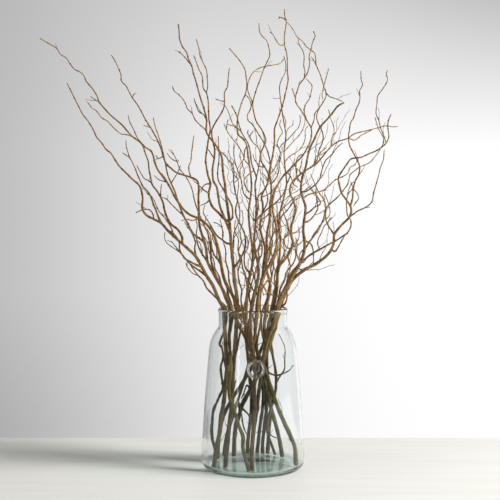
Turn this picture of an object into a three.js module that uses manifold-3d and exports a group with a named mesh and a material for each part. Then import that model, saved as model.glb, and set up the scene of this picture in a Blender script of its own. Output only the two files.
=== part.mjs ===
// Curly willow stems standing in a recycled-glass vase, in millimetres, +Z up.
// The origin is the centre of the vase's underside and the front of the vase faces -Y.

import * as THREE from "three";
import { mergeVertices } from "three/addons/utils/BufferGeometryUtils.js";
import Module from "manifold-3d";

const wasm = await Module();
wasm.setup();

// ---------- driving dimensions ----------

const VASE = {
  height: 390,
  floor: 10, // top of the thick glass floor
  restRadius: 108, // flat underside
  heelRadius: 126,
  heelHeight: 28,
  waistRadius: 107.5, // body just under the shoulder
  waistHeight: 278,
  neckRadius: 83,
  neckHeight: 344,
  neckRound: 5, // height of the round between shoulder and neck
  wall: 5.5,
  sides: 36,
  curveSteps: 3,
};

const LIP = { swell: 1.5, height: 13, widest: 9, round: 5 }; // measured down from the rim
const FLOOR_ROUND = { width: 9, height: 11 }; // where the glass floor turns up into the wall

// The body bulges slightly between heel and waist, then the shoulder turns in to the neck.
const BODY_BULGE = { share: 0.55, swell: 3.5 };
// Its curve is steered by [radius, height] steps: start from the waist, end and foot from the neck.
const SHOULDER = { start: [-1, 28], end: [15.5, -20], foot: [1.5, -2] };

// The round pressed seal. The wall's front stands this far from the axis at the seal's height.
const SEAL = { x: 7, z: 257, radius: 20, slope: 1, rimWidth: 3, rim: 3.2, field: 1.4, sunk: 104.5 };
const SEAL_SIDES = 24;
const SEAL_WALL_FRONT = 109;

const LEADER_SIDES = 5;
const TWIG_SIDES = { heavy: 4, fine: 3 };
const TWIG_TIP = 0.7; // radius where a twig ends
const TWIG_SHARE = 0.62; // a twig's base against the wood it grows from
const TWIG_BASE = { least: 1.0, most: 2.7 };
const MAIN_TWIG_SHARE = 0.85; // a heavy side limb's base against the same wood

// The bunch is laid out as seen from a point in front of it at this distance and height:
// what stands farther back is laid out larger, what stands nearer smaller.
const OUTLINE_FROM = { distance: 2550, height: 635 };

// Curl of the stems towards and away from the front, one wave for every few waypoints.
// A leader's curl grows to its full width over the share called start.
const CURL = { leader: 6, twig: 4, step: 1.9, stemPhase: 2.3, start: 0.125 };

const GAP = 1.0; // clear space between the wood of two stems, and between wood and glass
const FOOT_LIFT = 0.3; // cut ends stand this far above the glass floor
const RIM_SLACK = 8; // a waypoint this far under the rim already counts as at the mouth
const CLEAR_ABOVE = { height: 20, slope: 1.1 }; // the wood leans out over the lip no flatter than this
const TAPER = 1.5; // power of a stem's taper above the mouth
const WAIST = 250; // height where the stems cross inside the vase
const RELAX = {
  rounds: 240,
  reach: 22, // only wood this close at the start is watched
  share: 0.5,
  sideways: 0.3, // how much a push may go in x and z against y
  ease: 0.12,
  easeRounds: 160,
  wallShares: [0, 0.25, 0.5, 0.75, 1], // where along a segment the glass is watched
};

// ---------- the stems ----------
// Each route is [x, z] waypoints in the front view. A leader's route follows its foot [x, y].
// A twig's first waypoint is the fork on the wood that it grows from.
// depth is y at the waist, at the mouth and at the tip; lean is how far a twig leans in y.
// girth is the radius at the foot, at the mouth and at the tip.

const STEMS = [
  {
    foot: [-93, -51], depth: [-30, -10, -90], girth: [5.4, 4.6, 0.9],
    route: [
      [-88, 45], [-80, 85], [-76, 122], [-69, 160], [-64, 205], [-60, 250], [-63, 295], [-66, 340],
      [-70, 385], [-83, 410], [-96, 442], [-112, 467], [-124, 490], [-138, 514], [-155, 531], [-172, 546],
      [-190, 562], [-206, 577], [-222, 595], [-240, 605], [-258, 615], [-268, 632], [-267, 658],
      [-274, 685], [-292, 702], [-307, 717], [-322, 732], [-333, 748], [-343, 764], [-355, 774],
      [-366, 790], [-378, 804], [-385, 820], [-398, 842], [-410, 857], [-420, 876], [-432, 900], [-448, 933],
    ],
    twigs: [
      { lean: 60, route: [[-112, 467], [-128, 479], [-148, 493], [-163, 508], [-175, 524], [-187, 538],
        [-196, 549], [-208, 554]] },
      { lean: -50, route: [[-124, 490], [-136, 494], [-150, 501], [-164, 509], [-173, 521], [-178, 534],
        [-179, 548], [-188, 566], [-202, 578]] },
      { lean: 70, route: [[-138, 514], [-141, 535], [-139, 549], [-144, 564], [-151, 577], [-159, 587],
        [-166, 600]] },
      { lean: 110, heavy: true, route: [[-172, 546], [-172, 562], [-182, 580], [-198, 593], [-208, 610],
        [-214, 627], [-217, 643], [-223, 658], [-233, 675], [-243, 688], [-247, 706], [-251, 725],
        [-253, 745], [-259, 762], [-266, 782], [-279, 802], [-288, 822], [-297, 840], [-301, 857]],
      twigs: [
        { lean: -35, route: [[-223, 658], [-223, 672], [-221, 690]] },
        { lean: 40, route: [[-243, 688], [-250, 697], [-263, 704], [-271, 717], [-277, 728],
          [-281, 736]] },
      ] },
      { lean: -80, heavy: true, route: [[-222, 595], [-229, 610], [-235, 627], [-241, 641], [-246, 656],
        [-254, 671], [-266, 684], [-272, 696], [-279, 712], [-285, 728], [-291, 741], [-298, 753],
        [-310, 762], [-316, 766]],
      twigs: [
        { lean: 20, route: [[-298, 753], [-302, 766], [-306, 780], [-307, 796]] },
      ] },
      { lean: -60, route: [[-190, 562], [-200, 588], [-213, 608], [-226, 622], [-233, 636], [-239, 650],
        [-247, 663]] },
      { lean: 50, route: [[-240, 605], [-242, 616], [-247, 625], [-255, 629], [-269, 627],
        [-284, 621]] },
    ],
  },
  {
    foot: [104, -25], depth: [10, 26, 110], girth: [5.2, 4.2, 0.9],
    route: [
      [103, 45], [92, 75], [78, 105], [62, 142], [50, 175], [38, 210], [25, 245], [10, 280], [-5, 315],
      [-18, 350], [-33, 387], [-50, 420], [-62, 441], [-70, 460], [-75, 482], [-78, 503], [-82, 525],
      [-88, 548], [-95, 568], [-105, 585], [-118, 598], [-131, 607], [-152, 616], [-168, 629],
      [-178, 643], [-188, 658], [-197, 676], [-207, 694], [-215, 707], [-228, 722], [-236, 740],
      [-241, 760], [-247, 771], [-260, 779], [-272, 791], [-290, 804], [-303, 818], [-315, 832],
      [-330, 845], [-343, 856], [-356, 870], [-370, 887], [-376, 903], [-386, 919], [-401, 937],
      [-407, 951], [-417, 960], [-429, 966], [-440, 979], [-449, 993], [-463, 1002], [-472, 1016],
      [-490, 1027], [-512, 1040],
    ],
    twigs: [
      { lean: 60, route: [[-78, 503], [-91, 513], [-99, 528], [-103, 548], [-105, 566], [-113, 582]] },
      { lean: 40, route: [[-207, 694], [-216, 697], [-226, 700], [-238, 710]] },
      { lean: -70, route: [[-290, 804], [-304, 809], [-318, 811], [-331, 821], [-342, 832], [-351, 842],
        [-365, 850], [-377, 866], [-388, 873], [-400, 889]] },
      { lean: 30, route: [[-370, 887], [-380, 893], [-391, 901]] },
      { lean: -55, route: [[-131, 607], [-146, 602], [-160, 605], [-174, 601]] },
      { lean: -30, heavy: true, route: [[-5, 315], [-14, 338], [-30, 362], [-42, 384], [-47, 408],
        [-52, 432], [-58, 455], [-60, 480], [-66, 505], [-66, 530], [-73, 556], [-74, 582],
        [-80, 606]] },
    ],
  },
  {
    foot: [75, 63], depth: [30, -34, -130], girth: [5.5, 4.0, 0.8],
    route: [
      [70, 45], [62, 85], [52, 120], [42, 155], [33, 190], [22, 225], [8, 260], [-8, 295], [-24, 330],
      [-40, 362], [-54, 388], [-66, 415], [-75, 437], [-88, 460], [-98, 478], [-106, 492], [-111, 506],
      [-113, 528], [-117, 548], [-122, 563], [-128, 583], [-131, 605], [-131, 630], [-132, 655],
      [-131, 680], [-135, 698], [-150, 706], [-168, 712], [-185, 718], [-198, 728], [-210, 740],
      [-217, 757], [-222, 775], [-230, 795], [-238, 810], [-247, 826], [-258, 843], [-268, 862],
      [-278, 880], [-291, 898], [-300, 915], [-306, 926], [-317, 938], [-318, 953], [-324, 968],
      [-332, 985], [-341, 1000],
    ],
    twigs: [
      { lean: 50, route: [[-111, 506], [-121, 517], [-129, 531], [-135, 549], [-137, 570], [-135, 590],
        [-139, 608]] },
      { lean: -70, heavy: true, route: [[-117, 548], [-130, 559], [-143, 568], [-152, 582], [-160, 598],
        [-168, 613], [-176, 632], [-183, 652], [-189, 672], [-198, 692], [-206, 712], [-211, 735],
        [-216, 760], [-222, 785], [-229, 808], [-236, 828], [-241, 851]],
      twigs: [
        { lean: -60, route: [[-168, 613], [-184, 628], [-197, 641], [-209, 653], [-221, 659]] },
        { lean: -50, route: [[-198, 692], [-190, 705], [-182, 718], [-175, 735]] },
      ] },
      { lean: -40, route: [[-247, 826], [-256, 829], [-265, 832]] },
      { lean: 25, route: [[-291, 898], [-288, 905], [-281, 909]] },
      { lean: 90, route: [[-150, 706], [-154, 720], [-155, 733], [-150, 746], [-148, 768], [-145, 790],
        [-142, 809]] },
      { lean: 45, route: [[-217, 757], [-228, 752], [-236, 760]] },
      { lean: -60, heavy: true, route: [[-24, 330], [-38, 352], [-48, 378], [-56, 402], [-66, 424],
        [-76, 444], [-82, 466], [-92, 486], [-96, 508], [-106, 525], [-110, 548], [-121, 566]] },
    ],
  },
  {
    foot: [-8, -90], depth: [-48, 40, 150], girth: [4.4, 3.3, 0.8],
    route: [
      [-24, 42], [-25, 75], [-37, 105], [-46, 138], [-57, 168], [-60, 200], [-56, 240], [-59, 280],
      [-61, 320], [-58, 360], [-60, 392], [-67, 415], [-75, 435], [-83, 453], [-91, 472], [-97, 490],
      [-101, 511], [-101, 532], [-104, 552], [-108, 572], [-117, 590], [-126, 610], [-134, 630],
      [-141, 652], [-146, 675], [-154, 695], [-165, 712], [-177, 728], [-183, 745], [-191, 762], [-198, 773],
    ],
    twigs: [
      { lean: 40, route: [[-183, 745], [-190, 747], [-200, 755], [-208, 766]] },
      { lean: -60, route: [[-97, 490], [-107, 497], [-117, 511], [-124, 527], [-127, 545],
        [-137, 556]] },
      { lean: 70, route: [[-117, 590], [-113, 608], [-119, 622], [-115, 640]] },
      { lean: 90, heavy: true, route: [[-61, 320], [-55, 345], [-51, 372], [-53, 398], [-60, 420],
        [-64, 442], [-72, 462], [-76, 488], [-86, 510], [-88, 536], [-97, 558], [-98, 584]] },
      { lean: 12, route: [[-57, 168], [-48, 190], [-42, 216]] },
    ],
  },
  {
    foot: [-66, -43], depth: [-30, -46, -150], girth: [5.5, 4.4, 1.0],
    route: [
      [-62, 60], [-57, 105], [-51, 150], [-50, 200], [-47, 250], [-43, 300], [-40, 345], [-38, 390],
      [-40, 425], [-45, 455], [-47, 486], [-50, 515], [-53, 545], [-55, 573], [-57, 600], [-61, 630],
      [-65, 660], [-68, 690], [-72, 715], [-74, 740], [-76, 757], [-84, 775], [-97, 793], [-107, 805],
      [-113, 819], [-112, 845], [-118, 870], [-126, 895], [-133, 920], [-139, 942], [-144, 957],
      [-148, 975], [-156, 992], [-160, 1006], [-171, 1022], [-177, 1040], [-178, 1058], [-180, 1074],
    ],
    twigs: [
      { lean: -100, heavy: true, route: [[-55, 573], [-63, 592], [-74, 620], [-81, 640], [-84, 660],
        [-88, 683], [-96, 698], [-98, 725], [-94, 752], [-93, 775], [-98, 798], [-100, 818], [-91, 838],
        [-80, 855], [-71, 873], [-69, 889], [-69, 910], [-62, 924], [-60, 945], [-57, 970]],
      twigs: [
        { lean: 25, route: [[-94, 752], [-101, 762], [-107, 773]] },
        { lean: -30, route: [[-69, 889], [-80, 891], [-91, 895]] },
      ] },
      { lean: 60, heavy: true, route: [[-57, 600], [-70, 606], [-85, 622], [-98, 635], [-105, 652],
        [-107, 668], [-103, 690], [-109, 712], [-113, 735], [-114, 752], [-110, 780], [-107, 800],
        [-103, 822], [-106, 845], [-107, 868], [-108, 890], [-112, 909], [-120, 922], [-122, 948],
        [-131, 968], [-137, 985], [-143, 1000]],
      twigs: [
        { lean: 35, route: [[-112, 909], [-109, 925], [-110, 945], [-112, 965], [-120, 982],
          [-127, 998], [-130, 1016], [-136, 1038]] },
        { lean: -40, route: [[-107, 668], [-119, 676], [-132, 688], [-145, 700]] },
        { lean: 45, route: [[-103, 690], [-113, 690], [-121, 683], [-126, 669]] },
        { lean: 30, route: [[-105, 652], [-112, 645], [-120, 641], [-128, 638]] },
      ] },
      { lean: -40, route: [[-57, 600], [-50, 609], [-50, 632], [-56, 648], [-64, 662], [-74, 681],
        [-84, 700], [-85, 725], [-82, 752], [-83, 780], [-84, 807]] },
      { lean: -80, route: [[-113, 819], [-125, 830], [-139, 844], [-147, 860], [-158, 871], [-165, 888],
        [-178, 904], [-190, 914], [-195, 926]] },
      { lean: 30, route: [[-112, 845], [-119, 857], [-130, 864], [-137, 880], [-142, 897]] },
      { lean: 35, route: [[-148, 975], [-161, 991], [-178, 1009]] },
      { lean: -120, route: [[-47, 486], [-35, 503], [-23, 524], [-18, 545], [-20, 568], [-27, 585],
        [-34, 598], [-41, 615], [-42, 632], [-38, 650], [-43, 670], [-47, 695], [-46, 718], [-50, 738],
        [-61, 750], [-75, 768]],
      twigs: [
        { lean: -45, route: [[-34, 598], [-32, 614], [-33, 634], [-38, 660], [-35, 690], [-41, 712]] },
      ] },
      { lean: 50, route: [[-50, 515], [-47, 545], [-46, 570], [-39, 588], [-31, 602]] },
      { lean: 80, route: [[-53, 545], [-64, 547], [-74, 555], [-85, 563], [-94, 575], [-102, 590],
        [-112, 606], [-121, 620]],
      twigs: [
        { lean: 30, route: [[-74, 555], [-72, 573], [-77, 587], [-87, 595], [-97, 597]] },
      ] },
      { lean: 40, heavy: true, route: [[-47, 250], [-40, 285], [-33, 318], [-27, 350], [-26, 385],
        [-29, 410], [-27, 432], [-33, 452], [-36, 478], [-30, 502], [-35, 525], [-28, 550], [-31, 576],
        [-24, 600], [-26, 628]] },
    ],
  },
  {
    foot: [-92, 52], depth: [30, 14, 70], girth: [3.4, 2.3, 0.7],
    route: [
      [-101, 75], [-101, 110], [-96, 142], [-85, 168], [-74, 193], [-77, 222], [-79, 245], [-73, 268],
      [-76, 290], [-82, 302], [-74, 322], [-68, 345], [-64, 368], [-67, 392], [-83, 408], [-98, 423],
      [-112, 438], [-120, 455], [-132, 468], [-143, 482], [-153, 497], [-165, 511], [-178, 525],
      [-195, 537], [-208, 547], [-214, 560], [-213, 573],
    ],
    twigs: [
      { lean: 25, route: [[-74, 193], [-66, 212], [-63, 235], [-70, 250], [-69, 270], [-58, 282]] },
      { lean: -35, route: [[-132, 468], [-146, 474], [-158, 487], [-163, 500]] },
    ],
  },
  {
    foot: [-13, 95], depth: [40, 54, 200], girth: [4.5, 3.6, 0.9],
    route: [
      [-12, 62], [-8, 100], [-3, 140], [-4, 185], [-8, 230], [-12, 270], [-16, 310], [-18, 350],
      [-16, 390], [-14, 420], [-11, 450], [-6, 475], [-1, 497], [0, 518], [-2, 545], [-6, 572],
      [-9, 600], [-10, 628], [-6, 652], [-3, 680], [-4, 705], [-8, 735], [-12, 760], [-14, 782],
      [-22, 797], [-33, 807], [-37, 822], [-37, 845], [-32, 868], [-25, 890], [-18, 906], [-14, 928],
      [-16, 948], [-19, 966], [-30, 985], [-43, 1001], [-56, 1016],
    ],
    twigs: [
      { lean: 60, route: [[-37, 822], [-47, 833], [-54, 850], [-60, 867], [-69, 882]] },
      { lean: 90, route: [[-6, 652], [-20, 664], [-25, 680], [-27, 697], [-32, 712], [-38, 728],
        [-43, 745], [-46, 765], [-45, 790]] },
      { lean: -50, route: [[-8, 735], [-19, 747], [-24, 762], [-32, 777], [-44, 793], [-56, 808],
        [-64, 822], [-70, 837]],
      twigs: [
        { lean: 20, route: [[-44, 793], [-37, 801]] },
        { lean: 25, route: [[-64, 822], [-62, 835], [-60, 846]] },
      ] },
      { lean: 50, route: [[-6, 475], [-17, 485], [-21, 500], [-20, 520], [-12, 538], [-14, 560],
        [-24, 575]] },
      { lean: 80, route: [[0, 518], [10, 530], [17, 548], [12, 565], [10, 580]] },
      { lean: 40, route: [[-14, 782], [-20, 770], [-20, 755], [-26, 740], [-20, 722], [-24, 705]] },
      { lean: 60, route: [[-18, 906], [-8, 894], [-4, 878], [-8, 862]] },
      { lean: 30, heavy: true, route: [[-8, 230], [-2, 258], [4, 288], [8, 318], [4, 350], [0, 385],
        [4, 410], [9, 436], [5, 460], [8, 486], [16, 505], [14, 530], [22, 552], [20, 580], [28, 604],
        [27, 632]] },
      { lean: -16, route: [[-4, 185], [-14, 200], [-20, 186], [-28, 166]] },
    ],
  },
  {
    foot: [-2, -76], depth: [-34, -62, -230], girth: [4.5, 3.9, 0.8],
    route: [
      [-2, 40], [0, 80], [2, 112], [5, 150], [4, 190], [6, 235], [2, 275], [-4, 315], [-6, 350],
      [-4, 388], [2, 420], [10, 450], [14, 477], [11, 503], [5, 527], [3, 552], [5, 580], [7, 610],
      [8, 640], [6, 666], [5, 690], [8, 706], [2, 723], [-4, 742], [-7, 768], [-12, 787],
      [-20, 801], [-28, 815], [-34, 832], [-39, 852], [-45, 866], [-52, 879],
    ],
    twigs: [
      { lean: -70, heavy: true, route: [[5, 580], [9, 603], [24, 620], [39, 633], [53, 643], [66, 657],
        [74, 668], [81, 690], [88, 706], [90, 724]] },
      { lean: -60, route: [[7, 610], [13, 632], [12, 658], [23, 671], [32, 684], [34, 702],
        [24, 716]] },
      { lean: -90, route: [[8, 706], [12, 722], [15, 742], [17, 765], [10, 780], [-2, 792], [-8, 805],
        [1, 819]],
      twigs: [
        { lean: -25, route: [[-8, 805], [-13, 812], [-12, 822]] },
      ] },
      { lean: -60, route: [[14, 477], [3, 475], [-7, 467]] },
      { lean: -90, route: [[11, 503], [21, 520], [20, 545], [13, 560]] },
      { lean: -45, route: [[-28, 815], [-41, 828], [-52, 831], [-62, 834]] },
      { lean: -70, route: [[2, 723], [-12, 712], [-22, 700], [-18, 682], [-9, 668]] },
      { lean: 60, heavy: true, route: [[6, 235], [2, 262], [-4, 290], [-10, 318], [-12, 345], [-6, 375],
        [-5, 395], [-9, 420], [-4, 446], [2, 468], [-2, 492], [5, 514], [2, 540], [10, 562],
        [6, 590]] },
    ],
  },
  {
    foot: [11, 100], depth: [8, 20, 80], girth: [4.3, 3.4, 0.8],
    route: [
      [14, 65], [18, 100], [24, 140], [26, 180], [22, 215], [16, 250], [10, 290], [6, 330], [8, 365],
      [10, 395], [13, 420], [18, 445], [24, 470], [26, 495], [29, 518], [29, 538], [23, 560], [18, 582],
      [19, 603], [24, 623], [24, 642], [21, 658], [27, 674], [35, 690], [38, 712], [29, 731], [19, 748],
      [19, 764], [27, 783], [30, 800], [22, 820], [9, 840], [3, 860], [0, 885], [8, 915], [17, 940],
      [27, 968], [35, 985], [41, 1000], [38, 1020], [33, 1035], [22, 1046], [16, 1058], [15, 1076],
    ],
    twigs: [
      { lean: 60, route: [[21, 658], [31, 662], [43, 669], [55, 684]] },
      { lean: 90, heavy: true, route: [[38, 712], [42, 738], [37, 765], [28, 787], [18, 804], [8, 820],
        [-2, 835], [-11, 843], [-13, 856], [-6, 870], [-2, 888], [-8, 903], [-13, 922], [-8, 943],
        [0, 957], [14, 968], [30, 973], [48, 976], [65, 980], [76, 992]] },
      { lean: 40, route: [[29, 731], [19, 732], [10, 741], [4, 750], [0, 762]] },
      { lean: -50, route: [[24, 623], [33, 640], [36, 655], [33, 672], [26, 690], [19, 706]] },
      { lean: 70, route: [[13, 420], [-1, 436], [-9, 455], [-20, 470], [-30, 478]] },
      { lean: -60, heavy: true, route: [[22, 215], [16, 245], [12, 275], [12, 305], [16, 335],
        [21, 365], [18, 392], [19, 420], [22, 446], [30, 470], [34, 498], [42, 520], [40, 545],
        [49, 568], [48, 594], [58, 616], [58, 642]] },
    ],
  },
  {
    foot: [25, 92], depth: [48, -22, -60], girth: [4.5, 3.6, 0.9],
    route: [
      [24, 62], [28, 100], [32, 140], [30, 180], [28, 220], [30, 260], [28, 300], [24, 340], [28, 385],
      [35, 412], [40, 438], [38, 460], [32, 482], [32, 505], [35, 528], [34, 552], [36, 575], [40, 598],
      [42, 622], [43, 645], [45, 668], [44, 690], [41, 712], [43, 735], [48, 760], [52, 790], [52, 822],
      [58, 840], [65, 860], [72, 882], [78, 905], [82, 925], [85, 942], [83, 960], [83, 985],
      [81, 1005], [76, 1025], [76, 1048], [79, 1068], [80, 1083], [76, 1094], [76, 1109],
    ],
    twigs: [
      { lean: 30, route: [[80, 1083], [72, 1088], [61, 1091]] },
      { lean: -35, route: [[76, 1025], [65, 1024], [55, 1036], [48, 1049], [39, 1056]] },
      { lean: 70, route: [[41, 712], [52, 727], [60, 745], [66, 764], [59, 786], [63, 801], [71, 815],
        [65, 832], [68, 846]] },
      { lean: -60, route: [[44, 690], [55, 703], [62, 720], [64, 742], [68, 755]] },
      { lean: 50, route: [[42, 622], [31, 610], [20, 604]] },
      { lean: -80, route: [[38, 460], [29, 448], [22, 434], [26, 418]] },
      { lean: -60, route: [[35, 528], [46, 545], [45, 562], [52, 577], [46, 592]] },
      { lean: 70, heavy: true, route: [[28, 300], [36, 325], [42, 350], [41, 380], [48, 408], [53, 436],
        [52, 462], [58, 488], [70, 508], [76, 528], [74, 552], [84, 572], [86, 598]] },
    ],
  },
  {
    foot: [-88, 36], depth: [44, 52, 240], girth: [4.5, 3.5, 0.8],
    route: [
      [-84, 62], [-80, 95], [-70, 130], [-52, 165], [-30, 200], [-8, 235], [12, 270], [28, 305],
      [38, 345], [45, 385], [51, 415], [57, 447], [61, 476], [64, 505], [66, 530], [67, 555], [64, 580],
      [64, 605], [68, 628], [73, 648], [78, 668], [82, 692], [80, 715], [77, 742], [76, 768],
      [79, 792], [80, 812], [76, 835], [72, 858], [69, 882], [66, 903], [65, 925], [70, 942],
      [78, 958], [80, 978], [75, 998],
    ],
    twigs: [
      { lean: 60, heavy: true, route: [[77, 742], [88, 756], [101, 764], [114, 774], [123, 788],
        [127, 803], [127, 820], [134, 831]] },
      { lean: 90, route: [[76, 768], [86, 779], [94, 788], [102, 797], [111, 806], [120, 820],
        [126, 838], [126, 856], [122, 873]] },
      { lean: -50, route: [[79, 792], [90, 803], [103, 818], [111, 828], [115, 842], [113, 857]] },
      { lean: 40, route: [[80, 812], [86, 824], [96, 832], [98, 845]] },
      { lean: 70, route: [[67, 555], [76, 558], [90, 571], [103, 573], [113, 581], [121, 590]] },
      { lean: -60, route: [[64, 605], [74, 617], [86, 630], [95, 645], [104, 661]] },
      { lean: 110, route: [[64, 580], [60, 598], [61, 617], [75, 633], [88, 645], [100, 657],
        [113, 665], [126, 675], [139, 685]] },
      { lean: 50, route: [[79, 792], [71, 786], [64, 777], [56, 786]] },
      { lean: 60, route: [[72, 858], [77, 850], [80, 838], [78, 826]] },
      { lean: 70, heavy: true, route: [[28, 305], [24, 330], [32, 358], [37, 388], [36, 415], [39, 440],
        [46, 462], [44, 486], [52, 508], [60, 530], [60, 552], [69, 574], [67, 600], [75, 622]] },
    ],
  },
  {
    foot: [-74, 74], depth: [-6, -58, -180], girth: [3.8, 3.6, 0.8],
    route: [
      [-68, 58], [-62, 85], [-50, 120], [-38, 160], [-25, 200], [-14, 240], [-4, 280], [4, 320], [8, 355],
      [12, 390], [14, 420], [20, 450], [29, 476], [39, 493], [48, 511], [55, 531], [58, 555], [57, 580],
      [53, 603], [48, 625], [47, 648], [52, 672], [62, 692], [75, 712], [88, 725], [100, 738],
      [112, 750], [121, 760], [129, 774], [137, 789], [141, 806], [140, 825], [130, 843], [117, 866],
      [105, 883], [102, 897], [106, 913], [112, 930], [123, 944], [132, 960], [136, 980], [135, 998],
      [139, 1012], [143, 1030], [149, 1045], [145, 1057],
    ],
    twigs: [
      { lean: -50, route: [[130, 843], [124, 862], [126, 880], [136, 896], [140, 912], [142, 926],
        [134, 937], [127, 944]] },
      { lean: 40, route: [[123, 944], [125, 960], [122, 975], [123, 997], [119, 1012], [112, 1023],
        [108, 1040]] },
      { lean: -40, route: [[140, 825], [147, 845], [149, 860], [156, 869], [166, 881]] },
      { lean: -60, route: [[102, 897], [98, 908], [94, 921]] },
      { lean: -70, route: [[75, 712], [84, 716], [92, 706], [98, 690], [108, 682]] },
      { lean: -50, route: [[100, 738], [106, 722], [104, 706], [110, 695]] },
      { lean: 60, route: [[48, 511], [44, 532], [45, 552], [37, 569]] },
      { lean: -90, route: [[57, 580], [68, 562], [66, 545], [59, 530]] },
      { lean: -80, route: [[20, 450], [29, 436], [33, 420]] },
      { lean: 80, heavy: true, route: [[-4, 280], [-9, 300], [-14, 325], [-20, 350], [-22, 385],
        [-17, 410], [-14, 440], [-18, 466], [-25, 488], [-28, 512], [-36, 530], [-35, 556], [-44, 578],
        [-42, 604]] },
      { lean: 22, heavy: true, route: [[-38, 160], [-28, 148], [-18, 137], [-9, 126], [-6, 108],
        [-9, 88], [-12, 68], [-12, 52]] },
      { lean: -14, route: [[-38, 160], [-28, 128], [-22, 96], [-13, 75], [-10, 62]] },
    ],
  },
  {
    foot: [38, 96], depth: [20, 8, 60], girth: [4.5, 4.0, 0.9],
    route: [
      [38, 66], [40, 100], [44, 135], [42, 170], [36, 210], [32, 250], [34, 290], [40, 330], [44, 362],
      [50, 395], [56, 425], [59, 452], [60, 476], [64, 491], [74, 504], [84, 516], [92, 532], [97, 548],
      [93, 568], [94, 590], [100, 612], [103, 632], [97, 652], [90, 668], [92, 688], [103, 703],
      [118, 716], [133, 726], [150, 736], [165, 752], [178, 768], [190, 781], [205, 792], [220, 797],
      [231, 801], [243, 810], [258, 815], [280, 820], [300, 825], [320, 830], [338, 828], [350, 829],
    ],
    twigs: [
      { lean: 30, route: [[231, 801], [243, 796], [252, 799], [262, 808], [277, 815], [289, 822]] },
      { lean: -70, heavy: true, route: [[133, 726], [143, 733], [153, 744], [158, 758], [160, 772],
        [167, 788], [170, 803], [167, 818], [160, 832], [154, 850], [157, 866], [165, 880], [175, 898],
        [176, 910], [171, 925], [166, 942], [161, 957], [153, 975], [151, 992], [148, 1005],
        [138, 1013], [128, 1021], [118, 1034], [107, 1043], [98, 1058], [90, 1070], [81, 1079]],
      twigs: [
        { lean: -30, route: [[176, 910], [184, 901], [195, 897], [206, 893], [216, 889]] },
        { lean: 30, route: [[171, 925], [174, 937], [178, 951], [183, 969]] },
        { lean: -25, route: [[171, 925], [167, 908], [168, 893]] },
        { lean: 20, route: [[153, 975], [145, 990], [140, 996]] },
        { lean: 35, route: [[158, 758], [170, 772], [179, 778]] },
      ] },
      { lean: 60, route: [[150, 736], [153, 756], [165, 761], [177, 769], [188, 776]] },
      { lean: 40, route: [[190, 781], [190, 798], [196, 815], [194, 832], [187, 850]] },
      { lean: -60, route: [[93, 568], [86, 584], [82, 600], [76, 615], [71, 633]] },
      { lean: 70, route: [[97, 548], [102, 538], [112, 544], [120, 552], [125, 564]] },
      { lean: 60, route: [[84, 516], [88, 502], [91, 488], [86, 470], [81, 452]] },
      { lean: -50, route: [[92, 532], [79, 540], [76, 557], [79, 572]] },
      { lean: -70, heavy: true, route: [[34, 290], [27, 315], [22, 345], [24, 380], [34, 408],
        [40, 430], [42, 452], [48, 475], [50, 500], [44, 525], [47, 548], [40, 572], [43, 598],
        [36, 620]] },
      { lean: -14, route: [[32, 250], [36, 234], [45, 228], [57, 226], [72, 229], [90, 239],
        [99, 251]] },
      { lean: -20, route: [[40, 100], [38, 90], [42, 78], [57, 69]] },
    ],
  },
  {
    foot: [-5, 104], depth: [-14, -38, -120], girth: [4.3, 4.0, 1.8],
    route: [
      [0, 65], [4, 100], [10, 140], [14, 180], [18, 215], [22, 255], [30, 290], [40, 325], [50, 358],
      [57, 388], [66, 412], [78, 438], [92, 462], [105, 482], [117, 503], [124, 527], [125, 552],
      [122, 575], [123, 597], [126, 617], [127, 636], [121, 655], [116, 672], [117, 692], [121, 712],
      [127, 730], [131, 750], [134, 765], [139, 780], [148, 798], [155, 814], [163, 829], [175, 842],
      [187, 855], [198, 870], [206, 879], [219, 886],
    ],
    twigs: [
      { lean: -60, route: [[116, 672], [128, 672], [140, 680], [151, 689], [161, 702], [165, 718],
        [171, 737], [178, 750], [190, 761], [203, 778], [217, 790]] },
      { lean: 80, route: [[121, 655], [133, 664], [150, 669], [168, 674], [183, 685], [195, 697],
        [207, 704], [219, 709], [230, 717], [235, 730], [247, 737], [252, 748]] },
      { lean: -50, route: [[126, 617], [138, 624], [149, 634], [161, 640], [163, 648], [155, 660],
        [146, 672], [139, 685]] },
      { lean: 60, route: [[123, 597], [137, 602], [149, 616], [157, 632], [155, 646], [153, 663],
        [150, 680]] },
      { lean: -70, route: [[117, 692], [108, 705], [104, 722], [105, 745], [110, 757], [120, 762]] },
      { lean: 50, route: [[121, 712], [113, 722], [117, 738], [119, 752]] },
      { lean: -30, route: [[187, 855], [184, 862], [182, 870]] },
      { lean: 70, route: [[125, 552], [138, 548], [145, 534], [147, 512], [146, 490]] },
      { lean: -80, route: [[105, 482], [113, 500], [106, 522], [107, 545], [103, 562]] },
      { lean: 40, heavy: true, route: [[40, 325], [50, 345], [58, 372], [66, 398], [76, 420], [86, 442],
        [96, 460], [100, 482], [112, 500], [114, 520], [126, 538], [128, 560]] },
    ],
  },
  {
    foot: [-48, 62], depth: [4, 4, -70], girth: [5.2, 4.3, 1.0],
    route: [
      [-44, 92], [-36, 122], [-26, 155], [-8, 190], [8, 225], [22, 260], [36, 295], [48, 328],
      [57, 360], [64, 390], [73, 414], [84, 438], [96, 458], [112, 473], [130, 485], [148, 494],
      [165, 505], [180, 518], [190, 532], [196, 548], [197, 567], [207, 582], [220, 596], [232, 608],
      [238, 622], [236, 637], [226, 652], [215, 668], [209, 688], [207, 706], [216, 722], [227, 738],
      [236, 750], [248, 753], [263, 755], [280, 763], [297, 770], [311, 779], [322, 789], [328, 804],
      [326, 821], [326, 840], [333, 858],
    ],
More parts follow.
